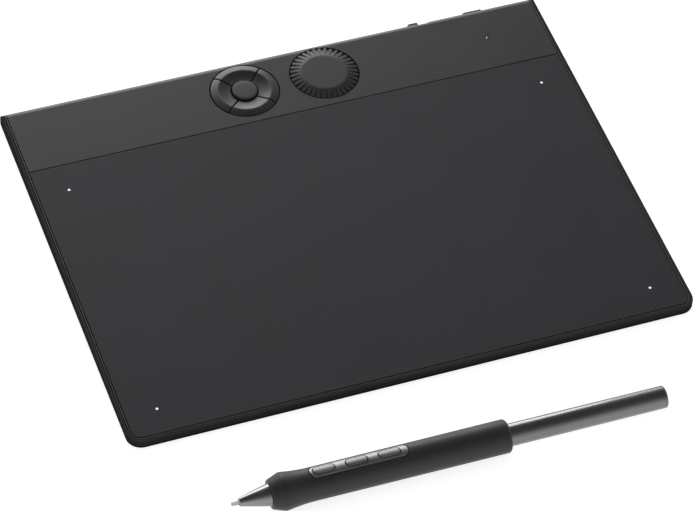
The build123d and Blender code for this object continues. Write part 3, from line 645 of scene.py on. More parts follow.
def sector(radii: Sequence[float], turns: Callable[[float], list[float]],
           top: Callable[[float, float], float], bottom: Callable[[float], float],
           start: float = 0.0) -> Mesh:
    """Closed body over a part of a ring.

    Args:
        radii: Radii of its rows.
        turns: Gives a row's angles from the body's middle, in radians.
        top: Gives the upper height at a radius and an angle.
        bottom: Gives the lower height at a radius.
        start: Angle of the body's middle.

    Returns:
        The mesh.
    """
    upper: Grid = []
    lower: Grid = []
    for radius in radii:
        upper.append([])
        lower.append([])
        for angle in turns(radius):
            x, y = radius * math.cos(angle + start), radius * math.sin(angle + start)
            upper[-1].append(Vector((x, y, top(radius, angle))))
            lower[-1].append(Vector((x, y, bottom(radius))))
    return Mesh().patch(upper, lower)


def arc(middle: Point, radius: float, start: float, end: float, steps: int = 6) -> list[Point]:
    """Points of an arc.

    Args:
        middle: Its centre.
        radius: Its radius.
        start: First angle in degrees.
        end: Last angle in degrees.
        steps: Number of chords.

    Returns:
        The points.
    """
    turns = (math.radians(start + (end - start) * step / steps) for step in range(steps + 1))
    return [(middle[0] + radius * math.cos(turn), middle[1] + radius * math.sin(turn)) for turn in turns]


def edge_drop(distance: float, radius: float) -> float:
    """How far a rounded edge has dropped.

    Args:
        distance: Distance inwards from the edge.
        radius: Radius of the edge.

    Returns:
        The drop below the flat.
    """
    if distance >= radius:
        return 0.0
    return radius - math.sqrt(max(0.0, radius ** 2 - (radius - distance) ** 2))


def rounded_outline(length: float, width: float, radius: float, steps: int = 12) -> list[Point]:
    """Rectangle with round corners, about the middle.

    Args:
        length: Size along the first axis.
        width: Size along the second axis.
        radius: Corner radius.
        steps: Chords in a corner.

    Returns:
        The points, anticlockwise.
    """
    x, y = length / 2 - radius, width / 2 - radius
    points = []
    for corner, start in (((x, y), 0), ((-x, y), 90), ((-x, -y), 180), ((x, -y), 270)):
        points += arc(corner, radius, start, start + 90, steps)
    return points


def cushion(length: float, width: float, radius: float, edge: float, base: float,
            place: Placing, inner_loops: int) -> Mesh:
    """Pad with a rounded upper edge.

    Args:
        length: Size along the first axis.
        width: Size along the second axis.
        radius: Corner radius.
        edge: Radius of the upper edge.
        base: Height from the pad's foot to its top.
        place: Gives the point for two coordinates and a height over the top.
        inner_loops: Loops across the top.

    Returns:
        The mesh.
    """
    loops = [[place(x, y, -base) for x, y in rounded_outline(length, width, radius)]]
    edge_steps = 4
    for step in range(edge_steps + 1):
        angle = math.radians(90 * step / edge_steps)
        inset = edge * (1 - math.cos(angle))
        drop = edge * (1 - math.sin(angle))
        outline = rounded_outline(length - 2 * inset, width - 2 * inset, radius - inset)
        loops.append([place(x, y, -drop) for x, y in outline])
    outline = rounded_outline(length - 2 * edge, width - 2 * edge, radius - edge)
    spine = length / 2 - width / 2
    last_loop_width = 0.2
    for step in range(1, inner_loops + 1):
        share = 1 - step / (inner_loops + last_loop_width)
        middles = [max(-spine, min(spine, x)) for x, _ in outline]
        loops.append([place(middle + (x - middle) * share, y * share, 0.0)
                      for middle, (x, y) in zip(middles, outline)])
    return Mesh().stack(loops)


def settled(piece: bpy.types.Object) -> bpy.types.Object:
    """Turn a piece's modifiers into plain mesh.

    Args:
        piece: An object with modifiers.

    Returns:
        The same object with the resulting mesh.
    """
    depsgraph = bpy.context.evaluated_depsgraph_get()
    data = bpy.data.meshes.new_from_object(piece.evaluated_get(depsgraph))
    piece.modifiers.clear()
    piece.data = data
    return piece


def carve(piece: bpy.types.Object, cutter: bpy.types.Object) -> bpy.types.Object:
    """Cut one mesh out of another.

    Args:
        piece: What is cut.
        cutter: The cutting mesh, which is then removed.

    Returns:
        The piece.
    """
    cut = piece.modifiers.new("carve", "BOOLEAN")
    cut.operation = "DIFFERENCE"
    cut.solver = "EXACT"
    cut.object = cutter
    settled(piece)
    bpy.data.objects.remove(cutter)
    return piece


def set_normals(data: bpy.types.Mesh, choose: Callable[[bpy.types.MeshPolygon], Vector | None]) -> None:
    """Give chosen faces a normal of their own in all their corners.

    Args:
        data: The mesh, whose other corners keep their normals.
        choose: Gives a face's normal, or nothing.
    """
    normals = [corner.vector.copy() for corner in data.corner_normals]
    for face in data.polygons:
        normal = choose(face)
        if normal is not None:
            for corner in face.loop_indices:
                normals[corner] = normal
    data.normals_split_custom_set(normals)


# Geometry Nodes


class Repeater:
    """Geometry Nodes tree that repeats a prototype on the vertices of a mesh."""

    def __init__(self, name: str) -> None:
        """Build the tree.

        Args:
            name: The tree's name.
        """
        tree = bpy.data.node_groups.new(name, "GeometryNodeTree")
        self.tree = tree

        def socket(label: str, kind: str, in_out: str = "INPUT") -> bpy.types.NodeTreeInterfaceSocket:
            """Add a socket to the tree's own interface."""
            return tree.interface.new_socket(label, in_out=in_out, socket_type=f"NodeSocket{kind}")

        socket("Places", "Geometry")
        self.prototype = socket("Prototype", "Object")
        self.step = socket("Turn per place", "Float")
        self.material = socket("Material", "Material")
        socket("Geometry", "Geometry", "OUTPUT")
        entry = tree.nodes.new("NodeGroupInput")
        source = self._node("GeometryNodeObjectInfo", Object=entry.outputs["Prototype"])
        index = tree.nodes.new("GeometryNodeInputIndex")
        turn = tree.nodes.new("ShaderNodeMath")
        turn.operation = "MULTIPLY"
        tree.links.new(index.outputs[0], turn.inputs[0])
        tree.links.new(entry.outputs["Turn per place"], turn.inputs[1])
        angles = self._node("ShaderNodeCombineXYZ", Z=turn.outputs[0])
        copies = self._node("GeometryNodeInstanceOnPoints", Points=entry.outputs["Places"],
                            Instance=source.outputs["Geometry"], Rotation=angles.outputs[0])
        real = self._node("GeometryNodeRealizeInstances", Geometry=copies.outputs[0])
        painted = self._node("GeometryNodeSetMaterial", Geometry=real.outputs[0],
                             Material=entry.outputs["Material"])
        tree.links.new(painted.outputs[0], tree.nodes.new("NodeGroupOutput").inputs[0])

    def _node(self, kind: str, **links: bpy.types.NodeSocket) -> bpy.types.Node:
        """Add a node.

        Args:
            kind: The node's type name.
            links: Sockets that go into its inputs, by name.

        Returns:
            The node.
        """
        node = self.tree.nodes.new(kind)
        for name, socket in links.items():
            self.tree.links.new(socket, node.inputs[name])
        return node

    def repeat(self, name: str, prototype: bpy.types.Object, places: Sequence[Vector], turn: float,
               material: bpy.types.Material, matrix: Matrix) -> bpy.types.Object:
        """Repeat a prototype.

        Args:
            name: The new piece's name.
            prototype: The mesh to repeat, which is then removed.
            places: Where the copies go, in millimetres.
            turn: Angle about Z from each place to the next, in radians.
            material: The material of the copies.
            matrix: Where the whole goes afterwards.

        Returns:
            The piece as a plain mesh.
        """
        data = bpy.data.meshes.new(name)
        data.from_pydata([place * MM for place in places], [], [])
        piece = linked(name, data)
        modifier = piece.modifiers.new("repeat", "NODES")
        modifier.node_group = self.tree
        modifier[self.prototype.identifier] = prototype
        modifier[self.step.identifier] = turn
        modifier[self.material.identifier] = material
        settled(piece)
        piece.data.transform(matrix)
        bpy.data.objects.remove(prototype)
        return piece


# The object


@dataclass
class Kit:
    """What every sub-assembly needs: the frame, the materials and the tree for repeats."""

    frame: dict
    materials: dict[str, bpy.types.Material]
    repeater: Repeater
    flat_enough: float = 0.99999
    flat_weight: int = 100

    def __post_init__(self) -> None:
        """Read each node's slot from the record."""
        self.slots = {part["node"]: part["material_slot"] for part in self.frame["record"]["subparts"]}

    def dress(self, piece: bpy.types.Object, node: str, look: Look | None = Look.CREASED,
              stands_for_node: bool = True) -> bpy.types.Object:
        """Shade a piece, give it a CAD node's material and tie it to that node's body.

        Args:
            piece: The new piece.
            node: The node whose body and slot it takes.
            look: How its faces are shaded, if that isn't done yet.
            stands_for_node: Whether it replaces the node.

        Returns:
            The piece.
        """
        slot = self.slots[node]
        piece.data.materials.clear()
        piece.data.materials.append(self.materials[slot])
        if look is not None:
            look.shade(piece.data)
        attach(piece, self.frame["nodes"][node]["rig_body"])
        if stands_for_node:
            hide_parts(node)
        log.info("%s: %d faces", piece.name, len(piece.data.polygons))
        return piece

    def dress_repeats(self, name: str, node: str, prototype: bpy.types.Object, places: Sequence[Vector],
                      turn: float, matrix: Matrix, stands_for_node: bool = True) -> bpy.types.Object:
        """Repeat a prototype and dress the result.

        Args:
            name: The new piece's name.
            node: The node whose body and slot it takes.
            prototype: The mesh to repeat.
            places: Where the copies go, in millimetres.
            turn: Angle about Z from each place to the next, in radians.
            matrix: Where the whole goes afterwards.
            stands_for_node: Whether it replaces the node.

        Returns:
            The piece.
        """
        material = self.materials[self.slots[node]]
        piece = self.repeater.repeat(name, prototype, places, turn, material, matrix)
        return self.dress(piece, node, stands_for_node=stands_for_node)

    def dress_copy(self, node: str, up: Vector) -> bpy.types.Object:
        """Copy a CAD node's mesh, join its loose triangles, shade its rounds smooth and dress it.

        Args:
            node: The CAD node.
            up: Direction of its flat top, which keeps that direction in all its corners.

        Returns:
            The piece that stands for it.
        """
        data = self.frame["nodes"][node].data.copy()
        solid = bmesh.new()
        solid.from_mesh(data)
        bmesh.ops.remove_doubles(solid, verts=solid.verts, dist=1e-6)
        solid.to_mesh(data)
        solid.free()
        Look.TIGHT.shade(data)
        piece = linked(f"{node}_skin", data)
        weigh = piece.modifiers.new("weigh", "WEIGHTED_NORMAL")
        weigh.keep_sharp = True
        weigh.weight = self.flat_weight
        set_normals(settled(piece).data, lambda face: up if face.normal.dot(up) > self.flat_enough else None)
        return self.dress(piece, node, None)

    def dress_nodes(self) -> None:
        """Give every CAD node its own material."""
        for name, node in self.frame["nodes"].items():
            material = self.materials[self.slots[name]]
            if node.material_slots:
                for slot in node.material_slots:
                    slot.material = material
            else:
                node.data.materials.append(material)


@dataclass
class Deck:
    """The sloping top plane of the tablet, which most pieces are placed on."""

    front_height: float = 4.0
    rear_height: float = 7.03
    width: float = 215.0
    depth: float = 164.5

    def __post_init__(self) -> None:
        """Find the tablet's middle from its case."""
        low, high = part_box("bottom_case")
        self.middle_y = (low.y + high.y) / 2 / MM
        self.tilt = math.atan2(self.rear_height - self.front_height, self.depth)

    def matrix(self, x: float = 0.0, y: float = 0.0) -> Matrix:
        """Place on the deck as a matrix.

        Args:
            x: Distance to the right of the middle.
            y: Distance to the rear of the middle.

        Returns:
            The matrix, in metres.
        """
        middle = Vector((0, self.middle_y, (self.front_height + self.rear_height) / 2))
        return (Matrix.Translation(middle * MM) @ Matrix.Rotation(self.tilt, 4, "X")
                @ Matrix.Translation(Vector((x, y, 0.0)) * MM))

    def up(self) -> Vector:
        """Direction square to the deck."""
        return Vector((0, -math.sin(self.tilt), math.cos(self.tilt)))


@dataclass
class Tablet:
    """Case, panels and the small parts that sit in them."""

    kit: Kit
    deck: Deck
    skins: tuple[str, ...] = ("bottom_case", "drawing_surface", "control_panel", "power_switch_knob",
                              "pairing_button", "usb_shell", "usb_tongue", "power_switch_lever")
    groove_extra: float = 0.18
    lip_outside: float = 1.35
    lip_inside: float = 1.68
    lip_edge: float = 0.08
    lip_taper: float = 0.02
    flange_inside: float = 3.3
    flange_top: float = 1.2
    flange_bottom: float = 1.6
    corner_radius: float = 5.6
    corner_steps: int = 12
    rear_round: float = 3.4
    rear_steps: int = 8
    status_side: float = 25.1
    status_behind: float = 16.0
    status_sections: tuple[Triple, ...] = ((2.0, 0.1, -1.2), (0.64, 0.319, -1.2), (0.64, 0.319, -0.14),
                                           (0.54, 0.269, -0.07), (0.256, 0.128, -0.05))
    dim_guide: LitGuide = LitGuide("dim_guide_plastic", (0.9, 0.91, 0.93), 0.22)
    well_radius: float = 0.85
    well_depth: float = 1.05
    well_cut_top: float = 0.4
    foot_length: float = 24.0
    foot_width: float = 8.0
    foot_height: float = 0.8
    foot_edge: float = 0.2
    light_radius: float = 0.5
    light_dome: float = 0.12
    light_neck: float = 0.7
    light_head_radius: float = 0.9
    light_depth: float = 0.9
    light_rows: tuple[float, ...] = (-69.65, 37.55)
    screw_head_radius: float = 1.5
    screw_head_height: float = 0.8
    screw_head_edge: float = 0.2
    screw_shank_radius: float = 0.8
    screw_tip: float = 0.3
    screw_turn: float = 0.3
    screw_column: float = -39.6
    socket_radius: float = 0.6
    socket_depth: float = 0.4

    def build(self) -> None:
        """Make every piece of the tablet's case."""
        for node in self.skins:
            skin = self.kit.dress_copy(node, self.deck.up())
            if node == "drawing_surface":
                self.widen_groove(skin)
            elif node == "control_panel":
                self.sink_status_ring(skin)
        self.lip()
        self.feet()
        self.case_screws()
        self.corner_lights()
        self.status_guide()

    def widen_groove(self, sheet: bpy.types.Object) -> None:
        """Draw the sheet's rear edge forward, so that the groove behind it reads as a dark line.

        Args:
            sheet: The sheet's copy.
        """
        rear = max(vertex.co.y for vertex in sheet.data.vertices)
        for vertex in sheet.data.vertices:
            if vertex.co.y > rear - self.groove_extra * MM:
                vertex.co.y -= self.groove_extra * MM

    def status_place(self) -> Matrix:
        """Place of the status lamp in the deck."""
        return self.deck.matrix(self.deck.width / 2 - self.status_side,
                                self.deck.depth / 2 - self.status_behind)

    def sink_status_ring(self, panel: bpy.types.Object) -> None:
        """Sink a small round well round the status lamp, with flat walls.

        Args:
            panel: The control panel's copy.
        """
        well = lathe([(0, -self.well_depth), (self.well_radius, -self.well_depth),
                      (self.well_radius, self.well_cut_top), (0, self.well_cut_top)], 40)
        place, up = self.status_place(), self.deck.up()

        def wall_normal(face: bpy.types.MeshPolygon) -> Vector | None:
            """Own normal of a face in the well."""
            in_well = (face.center - place.translation).length < 2 * self.well_radius * MM
            return face.normal.copy() if in_well and face.normal.dot(up) < self.kit.flat_enough else None

        set_normals(carve(panel, well.build("status_well", place)).data, wall_normal)

    def lip_station(self, side: int, turn: float | None, y: float) -> Callable[[float], Point]:
        """Place of the lip's section, as a function of the distance from the case's outside.

        Args:
            side: Left (-1) or right (1).
            turn: Angle in a front corner, or nothing on a straight side.
            y: Distance to the rear on a straight side.

        Returns:
            A function that gives x and y for a distance from the outside.
        """
        half_width, half_depth = self.deck.width / 2, self.deck.depth / 2
        if turn is None:
            return lambda inset: (side * (half_width - inset), y)
        middle = (side * (half_width - self.corner_radius), self.corner_radius - half_depth)
        direction = (side * math.cos(turn), -math.sin(turn))
        return lambda inset: (middle[0] + (self.corner_radius - inset) * direction[0],
                              middle[1] + (self.corner_radius - inset) * direction[1])

    def lip(self) -> None:
        """Thin lip on its flange, round the left, the front and the right of the sheet."""
        edge, tangent = self.lip_edge, self.deck.depth / 2 - self.rear_round
        section = [(self.lip_outside, edge), (self.lip_outside + edge, 0.0),
                   (self.lip_inside - edge, 0.0), (self.lip_inside, edge),
                   (self.lip_inside, self.flange_top), (self.flange_inside, self.flange_top),
                   (self.flange_inside, self.flange_bottom), (self.lip_outside, self.flange_bottom)]
        last = math.acos(1 - (self.flange_bottom - edge) / self.rear_round)
        bends = [last * step / self.rear_steps for step in range(self.rear_steps, -1, -1)]
        turns = [math.radians(90 * step / self.corner_steps) for step in range(self.corner_steps + 1)]
        loops = []
        for side in (-1, 1):
            arm = [(self.lip_station(side, None, tangent + self.rear_round * math.sin(bend)),
                    self.rear_round * (1 - math.cos(bend))) for bend in bends]
            arm += [(self.lip_station(side, turn, 0.0), 0.0) for turn in turns]
            for station, fall in (arm if side < 0 else reversed(arm)):
                loops.append([Vector((*station(inset), -max(depth, fall + depth * self.lip_taper)))
                              for inset, depth in section])
        self.kit.dress(Mesh().stack(loops).build("bezel_lip", self.deck.matrix()), "surface_bezel")

    def status_guide(self) -> None:
        """Light guide of the status lamp: a square rod with a domed pin, by width, corner and rise."""
        low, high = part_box("status_light_guide")
        foot = (*self.status_sections[0][:2], (low.z - high.z) / MM)
        guide = Mesh().stack([[Vector((x, y, rise)) for x, y in rounded_outline(width, width, corner, 6)]
                              for width, corner, rise in (foot, *self.status_sections)])
        piece = self.kit.dress(guide.build("status_pin", self.status_place()), "status_light_guide")
        piece.data.materials[0] = self.dim_guide.material()

    def feet(self) -> None:
        """Four rubber pads with a rounded lower edge."""
        for node in ("foot_front_left", "foot_front_right", "foot_rear_left", "foot_rear_right"):
            low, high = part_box(node)
            middle = (low + high) / 2 / MM
            pad = cushion(self.foot_length, self.foot_width, self.foot_width / 2 - HAIR, self.foot_edge,
                          self.foot_height, lambda x, y, rise: Vector((middle.x + x, middle.y + y, -rise)), 3)
            self.kit.dress(pad.build(f"{node}_pad"), node)

    def case_screws(self) -> None:
        """Screws in the underside, with their sockets."""
        head, shank, edge = self.screw_head_radius, self.screw_shank_radius, self.screw_head_edge
        low, high = (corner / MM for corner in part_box("case_screws"))
        length = high.z - low.z
        profile = [(0, self.socket_depth), (self.socket_radius, self.socket_depth), (self.socket_radius, 0)]
        profile += arc((head - edge, edge), edge, -90, 0)
        profile += [(head, self.screw_head_height), (shank, self.screw_head_height),
                    (shank, length - self.screw_tip), (shank - self.screw_tip, length), (0, length)]
        places = [Vector((x, y, low.z)) for x in (low.x + head, self.screw_column, high.x - head)
                  for y in (low.y + head, high.y - head)]
        self.kit.dress_repeats("case_screw_set", "case_screws", lathe(profile, 48).build("screw_prototype"),
                               places, self.screw_turn, Matrix.Identity(4))

    def corner_lights(self) -> None:
        """Light guides that show as four dots."""
        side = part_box("corner_light_guides")[1].x / MM - self.light_head_radius
        dome = self.light_dome
        profile = [(0, 0)] + arc((self.light_radius - dome, -dome), dome, 90, 0, 4)
        profile += [(self.light_radius, -self.light_neck), (self.light_head_radius, -self.light_neck),
                    (self.light_head_radius, -self.light_depth), (0, -self.light_depth)]
        places = [Vector((x, y, 0.0)) for x in (-side, side) for y in self.light_rows]
        self.kit.dress_repeats("corner_light_set", "corner_light_guides",
                               lathe(profile, 32).build("guide_prototype"), places, 0.0, self.deck.matrix())


@dataclass
class RingKeys:
    """Four crested ring keys and the round key in their middle."""

    kit: Kit
    deck: Deck
    x: float = -16.0
    y: float = 66.35
    outer_radius: float = 13.02
    inner_radius: float = 5.3
    crest_radius: float = 10.05
    crest_height: float = 0.6
    outer_bulge: float = 1.25
    inner_drop: float = 0.3
    inner_bulge: float = 1.55
    split: float = 0.5
    depth: float = 1.5
    edge_steps: tuple[float, ...] = (0.0, 0.02, 0.06, 0.14)
    rows: int = 16
    columns: int = 40
    center_radius: float = 4.85
    center_flat: float = 2.425
    center_height: float = 0.6
    center_edge: float = 0.42

    def half_angle(self, radius: float) -> float:
        """Angle from a key's middle to its side at a radius."""
        return math.radians(45) - math.asin(self.split / 2 / radius)

    def turns(self, radius: float) -> list[float]:
        """Angles of the points across a key, closer together at its sides.

        Args:
            radius: Radius of the row.

        Returns:
            The angles from the key's middle.
        """
        half = self.half_angle(radius)
        arms = [step / radius for step in self.edge_steps]
        flat = half - arms[-1]
        inner = [flat - 2 * flat * step / self.columns for step in range(1, self.columns)]
        return [half - arm for arm in arms] + inner + [arm - half for arm in reversed(arms)]

    def top(self, radius: float, angle: float) -> float:
        """Height of a key's upper side: a crested slope with rounded edges.

        Args:
            radius: Distance from the ring's middle.
            angle: Angle from the key's middle.

        Returns:
            The height over the deck.
        """
        if radius > self.crest_radius:
            share = (radius - self.crest_radius) / (self.outer_radius - self.crest_radius)
            height = self.crest_height * (1 - share ** self.outer_bulge)
        else:
            share = (self.crest_radius - radius) / (self.crest_radius - self.inner_radius)
            fall = self.crest_height + self.inner_drop
            height = self.crest_height - fall * (1 - (1 - share) ** self.inner_bulge)
        distance = min(radius - self.inner_radius, self.outer_radius - radius,
                       (self.half_angle(radius) - abs(angle)) * radius)
        return height - edge_drop(distance, self.edge_steps[-1])

    def build(self) -> None:
        """Make the five keys."""
        steps = self.edge_steps
        flat = self.outer_radius - self.inner_radius - 2 * steps[-1]
        radii = [self.inner_radius + step for step in steps]
        radii += [self.inner_radius + steps[-1] + flat * row / self.rows for row in range(1, self.rows)]
        radii += [self.outer_radius - step for step in reversed(steps)]
        place = self.deck.matrix(self.x, self.y)
        for quarter, side in enumerate(("right", "rear", "left", "front")):
            key = sector(radii, self.turns, self.top, lambda radius: -self.depth, math.radians(90 * quarter))
            self.kit.dress(key.build(f"ring_key_{side}_cap", place), f"ring_key_{side}")
        radius, height, edge = self.center_radius, self.center_height, self.center_edge
        profile = [(0, height), (self.center_flat, height)]
        profile += arc((radius - edge, height - edge), edge, 90, 0, 8)
        profile += [(radius, -self.depth), (0, -self.depth)]
        self.kit.dress(lathe(profile).build("center_key_cap", place), "center_key")


@dataclass
class Dial:
    """Ribbed dial: a turned knob with its ribs set round it."""

    kit: Kit
    deck: Deck
    x: float = 16.0
    y: float = 66.35
    radius: float = 13.1
    flat_radius: float = 8.7
    flat_ring: float = 7.7
    rise: float = 0.55
    rim_drop: float = 0.1
    ribs: int = 36
    groove_width: float = 0.9
    groove_start: float = 9.0
    groove_start_depth: float = 0.03
    groove_end_depth: float = 0.55
    rib_edge: float = 0.12
    rib_edge_shares: tuple[float, ...] = (0.55, 0.2, 0.0)
    rib_sides: tuple[float, ...] = (-1.0, -0.85, -0.6, -0.3, 0.0, 0.3, 0.6, 0.85, 1.0)
    rib_foot: float = 0.45
    rib_sink: float = 0.15
    end_steps: int = 6
    rib_steps: int = 8
    skirt_depth: float = 1.9
    skirt_thickness: float = 0.8
    web: float = 0.9

    def floor(self, radius: float) -> float:
        """Height of the groove floors.

        Args:
            radius: Distance from the dial's middle.

        Returns:
            The height over the deck.
        """
        start = self.rise - self.groove_start_depth
        end = -self.rim_drop - self.groove_end_depth
        return start + (end - start) * (radius - self.groove_start) / (self.radius - self.groove_start)

    def groove(self, radius: float) -> float:
        """Half of a groove's width, which shrinks to nothing at its round inner end.

        Args:
            radius: Distance from the dial's middle.

        Returns:
            Half of the width.
        """
        end = self.groove_width / 2
        reach = max(0.0, min(end, radius - self.groove_start))
        return math.sqrt(max(0.0, end ** 2 - (end - reach) ** 2))

    def half_angle(self, radius: float) -> float:
        """Angle from a rib's middle to its side at a radius."""
        return math.pi / self.ribs - math.asin(self.groove(radius) / radius)

    def rib_top(self, radius: float, angle: float) -> float:
        """Height of a rib's upper side: the knob's slope with rounded edges.

        Args:
            radius: Distance from the dial's middle.
            angle: Angle from the rib's middle.

        Returns:
            The height over the deck.
        """
        share = max(0.0, (radius - self.flat_radius) / (self.radius - self.flat_radius))
        side = (self.half_angle(radius) - abs(angle)) * radius
        drop = max(edge_drop(side, min(self.rib_edge, self.groove(radius))),
                   edge_drop(self.radius - radius, self.rib_edge))
        return self.rise - (self.rise + self.rim_drop) * share - drop

    def rib(self) -> bpy.types.Object:
        """Make one rib.

        Returns:
            The prototype, on +X.
        """
        end = self.groove_width / 2
        radii = [self.flat_radius, self.groove_start]
        radii += [self.groove_start + end * (1 - math.cos(math.radians(90 * step / self.end_steps)))
                  for step in range(1, self.end_steps + 1)]
        run = self.radius - self.rib_edge - radii[-1]
        radii += [radii[-1] + run * step / self.rib_steps for step in range(1, self.rib_steps + 1)]
        radii += [self.radius - self.rib_edge * share for share in self.rib_edge_shares]
        return sector(
            radii, lambda radius: [share * self.half_angle(radius) for share in self.rib_sides], self.rib_top,
            lambda radius: min(self.floor(radius), self.rib_foot) - self.rib_sink).build("rib_prototype")

    def build(self) -> None:
        """Make the knob below its ribs and set the ribs round it."""
        place = self.deck.matrix(self.x, self.y)
        inner = self.radius - self.skirt_thickness
        profile = [(0, self.rise), (self.flat_ring, self.rise), (self.flat_radius, self.rise),
                   (self.groove_start, self.floor(self.groove_start)), (self.radius, self.floor(self.radius)),
                   (self.radius, -self.skirt_depth), (inner, -self.skirt_depth), (inner, -self.web),
                   (0, -self.web)]
        self.kit.dress(lathe(profile, 144).build("dial_knob_core", place), "dial_knob")
        self.kit.dress_repeats("dial_ribs", "dial_knob", self.rib(), [Vector((0, 0, 0))] * self.ribs,
                               2 * math.pi / self.ribs, place, stands_for_node=False)


@dataclass
class Pen:
    """Pen that lies in front of the tablet. Outlines are (distance from the tip, radius) points."""

    kit: Kit
    deck: Deck
    tip_x: float = -83.2
    tip_y: float = -119.55
    yaw: float = 0.05
    roll: float = -8.0
    length: float = 161.3
    nose_outline: tuple[Point, ...] = (
        (3.6, 0.98), (2.92, 0.98), (2.8, 1.1), (2.8, 1.35), (2.92, 1.5), (8.3, 2.83), (13.7, 4.07),
        (13.8, 3.98), (13.8, 3.25), (17.0, 3.25), (17.0, 0.98))
    nib_outline: tuple[Point, ...] = (
        (0, 0), (0.02, 0.22), (0.08, 0.42), (0.2, 0.58), (0.45, 0.7), (0.9, 0.78), (2.7, 0.9), (24.9, 0.9),
        (24.9, 0))
    grip_front: tuple[Point, ...] = (
        (13.9, 3.4), (13.9, 4.85), (13.95, 5.1), (14.15, 5.3), (14.6, 5.45), (15.9, 5.92), (17.3, 6.44),
        (18.0, 6.68), (18.45, 6.80), (18.9, 6.84), (19.3, 6.79))
    grip_stations: tuple[float, ...] = (40.0, 55.0, 70.0, 85.0, 95.0)
    grip_inside: tuple[Point, ...] = ((101.6, 4.19), (99.6, 4.19), (99.3, 4.55), (14.9, 4.55), (14.9, 3.4))
    grip_end: float = 101.6
    bulge_at: float = 18.9
    bulge_radius: float = 6.87
    neck_at: float = 29.4
    neck_radius: float = 5.97
    neck_steps: int = 18
    end_radius: float = 6.09
    end_round: float = 1.0
    shaft_outline: tuple[Point, ...] = (
        (99.3, 2.6), (99.3, 4.14), (160.44, 4.14), (160.5, 4.08), (160.5, 2.6))
    cap_outline: tuple[Point, ...] = (
        (156.5, 0), (156.5, 2.55), (160.5, 2.55), (160.5, 4.08), (160.56, 4.14))
    tail_radius: float = 4.14
    chamfer: float = 0.3
    plate_start: float = 28.2
    plate_end: float = 64.6
    plate_width: float = 5.7
    plate_corner: float = 2.5
    plate_gap: float = 0.25
    plate_edge: float = 0.12
    plate_rise: float = 0.05
    plate_thickness: float = 0.7
    opening_extra: float = 0.1
    cut_heights: tuple[float, ...] = (2.0, 9.0)
    buttons: tuple[float, ...] = (33.6, 45.575, 57.55)
    button_length: float = 7.9
    button_width: float = 3.2
    button_edge: float = 0.22
    button_rise: float = 0.25
    skin_sink: float = 0.05
    button_thickness: float = 1.2
    gap: float = 0.32

    def __post_init__(self) -> None:
        """Find the resting place, in which the bulge and the grip's end touch the desk."""
        run = self.grip_end - self.end_round - self.bulge_at
        pitch = math.atan2(self.bulge_radius - self.end_radius, run)
        height = self.bulge_at * math.sin(pitch) + self.bulge_radius * math.cos(pitch)
        tip = Vector((self.tip_x, self.tip_y + self.deck.middle_y, height)) * MM
        self.place = (Matrix.Translation(tip) @ Matrix.Rotation(math.radians(self.yaw), 4, "Z")
                      @ Matrix.Rotation(pitch, 4, "Y") @ Matrix.Rotation(math.radians(self.roll), 4, "X"))

    def laid(self, piece: bpy.types.Object, node: str) -> None:
        """Lay a piece on the desk and dress it."""
        piece.data.transform(self.place)
        self.kit.dress(piece, node)

    def turned(self, name: str, profile: Sequence[Point], segments: int = 144) -> bpy.types.Object:
        """Turn an outline about the pen's axis.

        Args:
            name: The piece's name.
            profile: (distance from the tip, radius) points.
            segments: Steps round the axis.

        Returns:
            The piece, along +X from the tip.
        """
        mesh = lathe([(radius, distance) for distance, radius in profile], segments)
        return mesh.build(name, Matrix(((0, 0, 1, 0), (0, 1, 0, 0), (-1, 0, 0, 0), (0, 0, 0, 1))))

    def skin_radius(self, distance: float) -> float:
        """Radius of the grip's outside behind its bulge.

        Args:
            distance: Distance from the tip.

        Returns:
            The radius.
        """
        if distance <= self.neck_at:
            share = (self.neck_at - distance) / (self.neck_at - self.bulge_at)
            return self.neck_radius + (self.bulge_radius - self.neck_radius) * share ** 2
        share = (distance - self.neck_at) / (self.grip_end - self.neck_at)
        return self.neck_radius + (self.end_radius - self.neck_radius) * share

    def cut_opening(self, piece: bpy.types.Object, middle: float, length: float, width: float,
                    corner: float) -> None:
        """Cut a rounded opening through the pen's upper side.

        Args:
            piece: What is cut.
            middle: Distance of the opening's middle from the tip.
            length: Length of the opening.
            width: Its width.
            corner: Its corner radius.
        """
        outline = rounded_outline(length, width, corner)
        cutter = Mesh().stack([[Vector((middle + x, y, z)) for x, y in outline] for z in self.cut_heights])
        carve(piece, cutter.build("opening_cutter"))

    def on_skin(self, middle: float, rise: float) -> Placing:
        """Mapping from a flat outline to the pen's round skin.

        Args:
            middle: Distance of the outline's middle from the tip.
            rise: Height of the surface over the skin.

        Returns:
            A function of two coordinates and a height.
        """
        radius = self.end_radius - self.skin_sink + rise
        return lambda x, y, height: Vector((middle + x, y, math.sqrt(radius ** 2 - y ** 2) + height))

    def grip(self) -> None:
        """Soft grip with its front bulge and the opening for the button plate."""
        stations = [self.bulge_at + (self.neck_at - self.bulge_at) * step / self.neck_steps
                    for step in range(2, self.neck_steps + 1)]
        profile = [*self.grip_front]
        profile += [(distance, self.skin_radius(distance)) for distance in (*stations, *self.grip_stations)]
        profile += arc((self.grip_end - self.end_round, self.end_radius - self.end_round), self.end_round,
                       90, 0, 8)
        piece = self.turned("pen_grip_sleeve", [*profile, *self.grip_inside])
        extra = self.opening_extra
        self.cut_opening(piece, (self.plate_start + self.plate_end) / 2,
                         self.plate_end - self.plate_start + 2 * extra, self.plate_width + 2 * extra,
                         self.plate_corner + extra)
        self.laid(piece, "pen_grip")

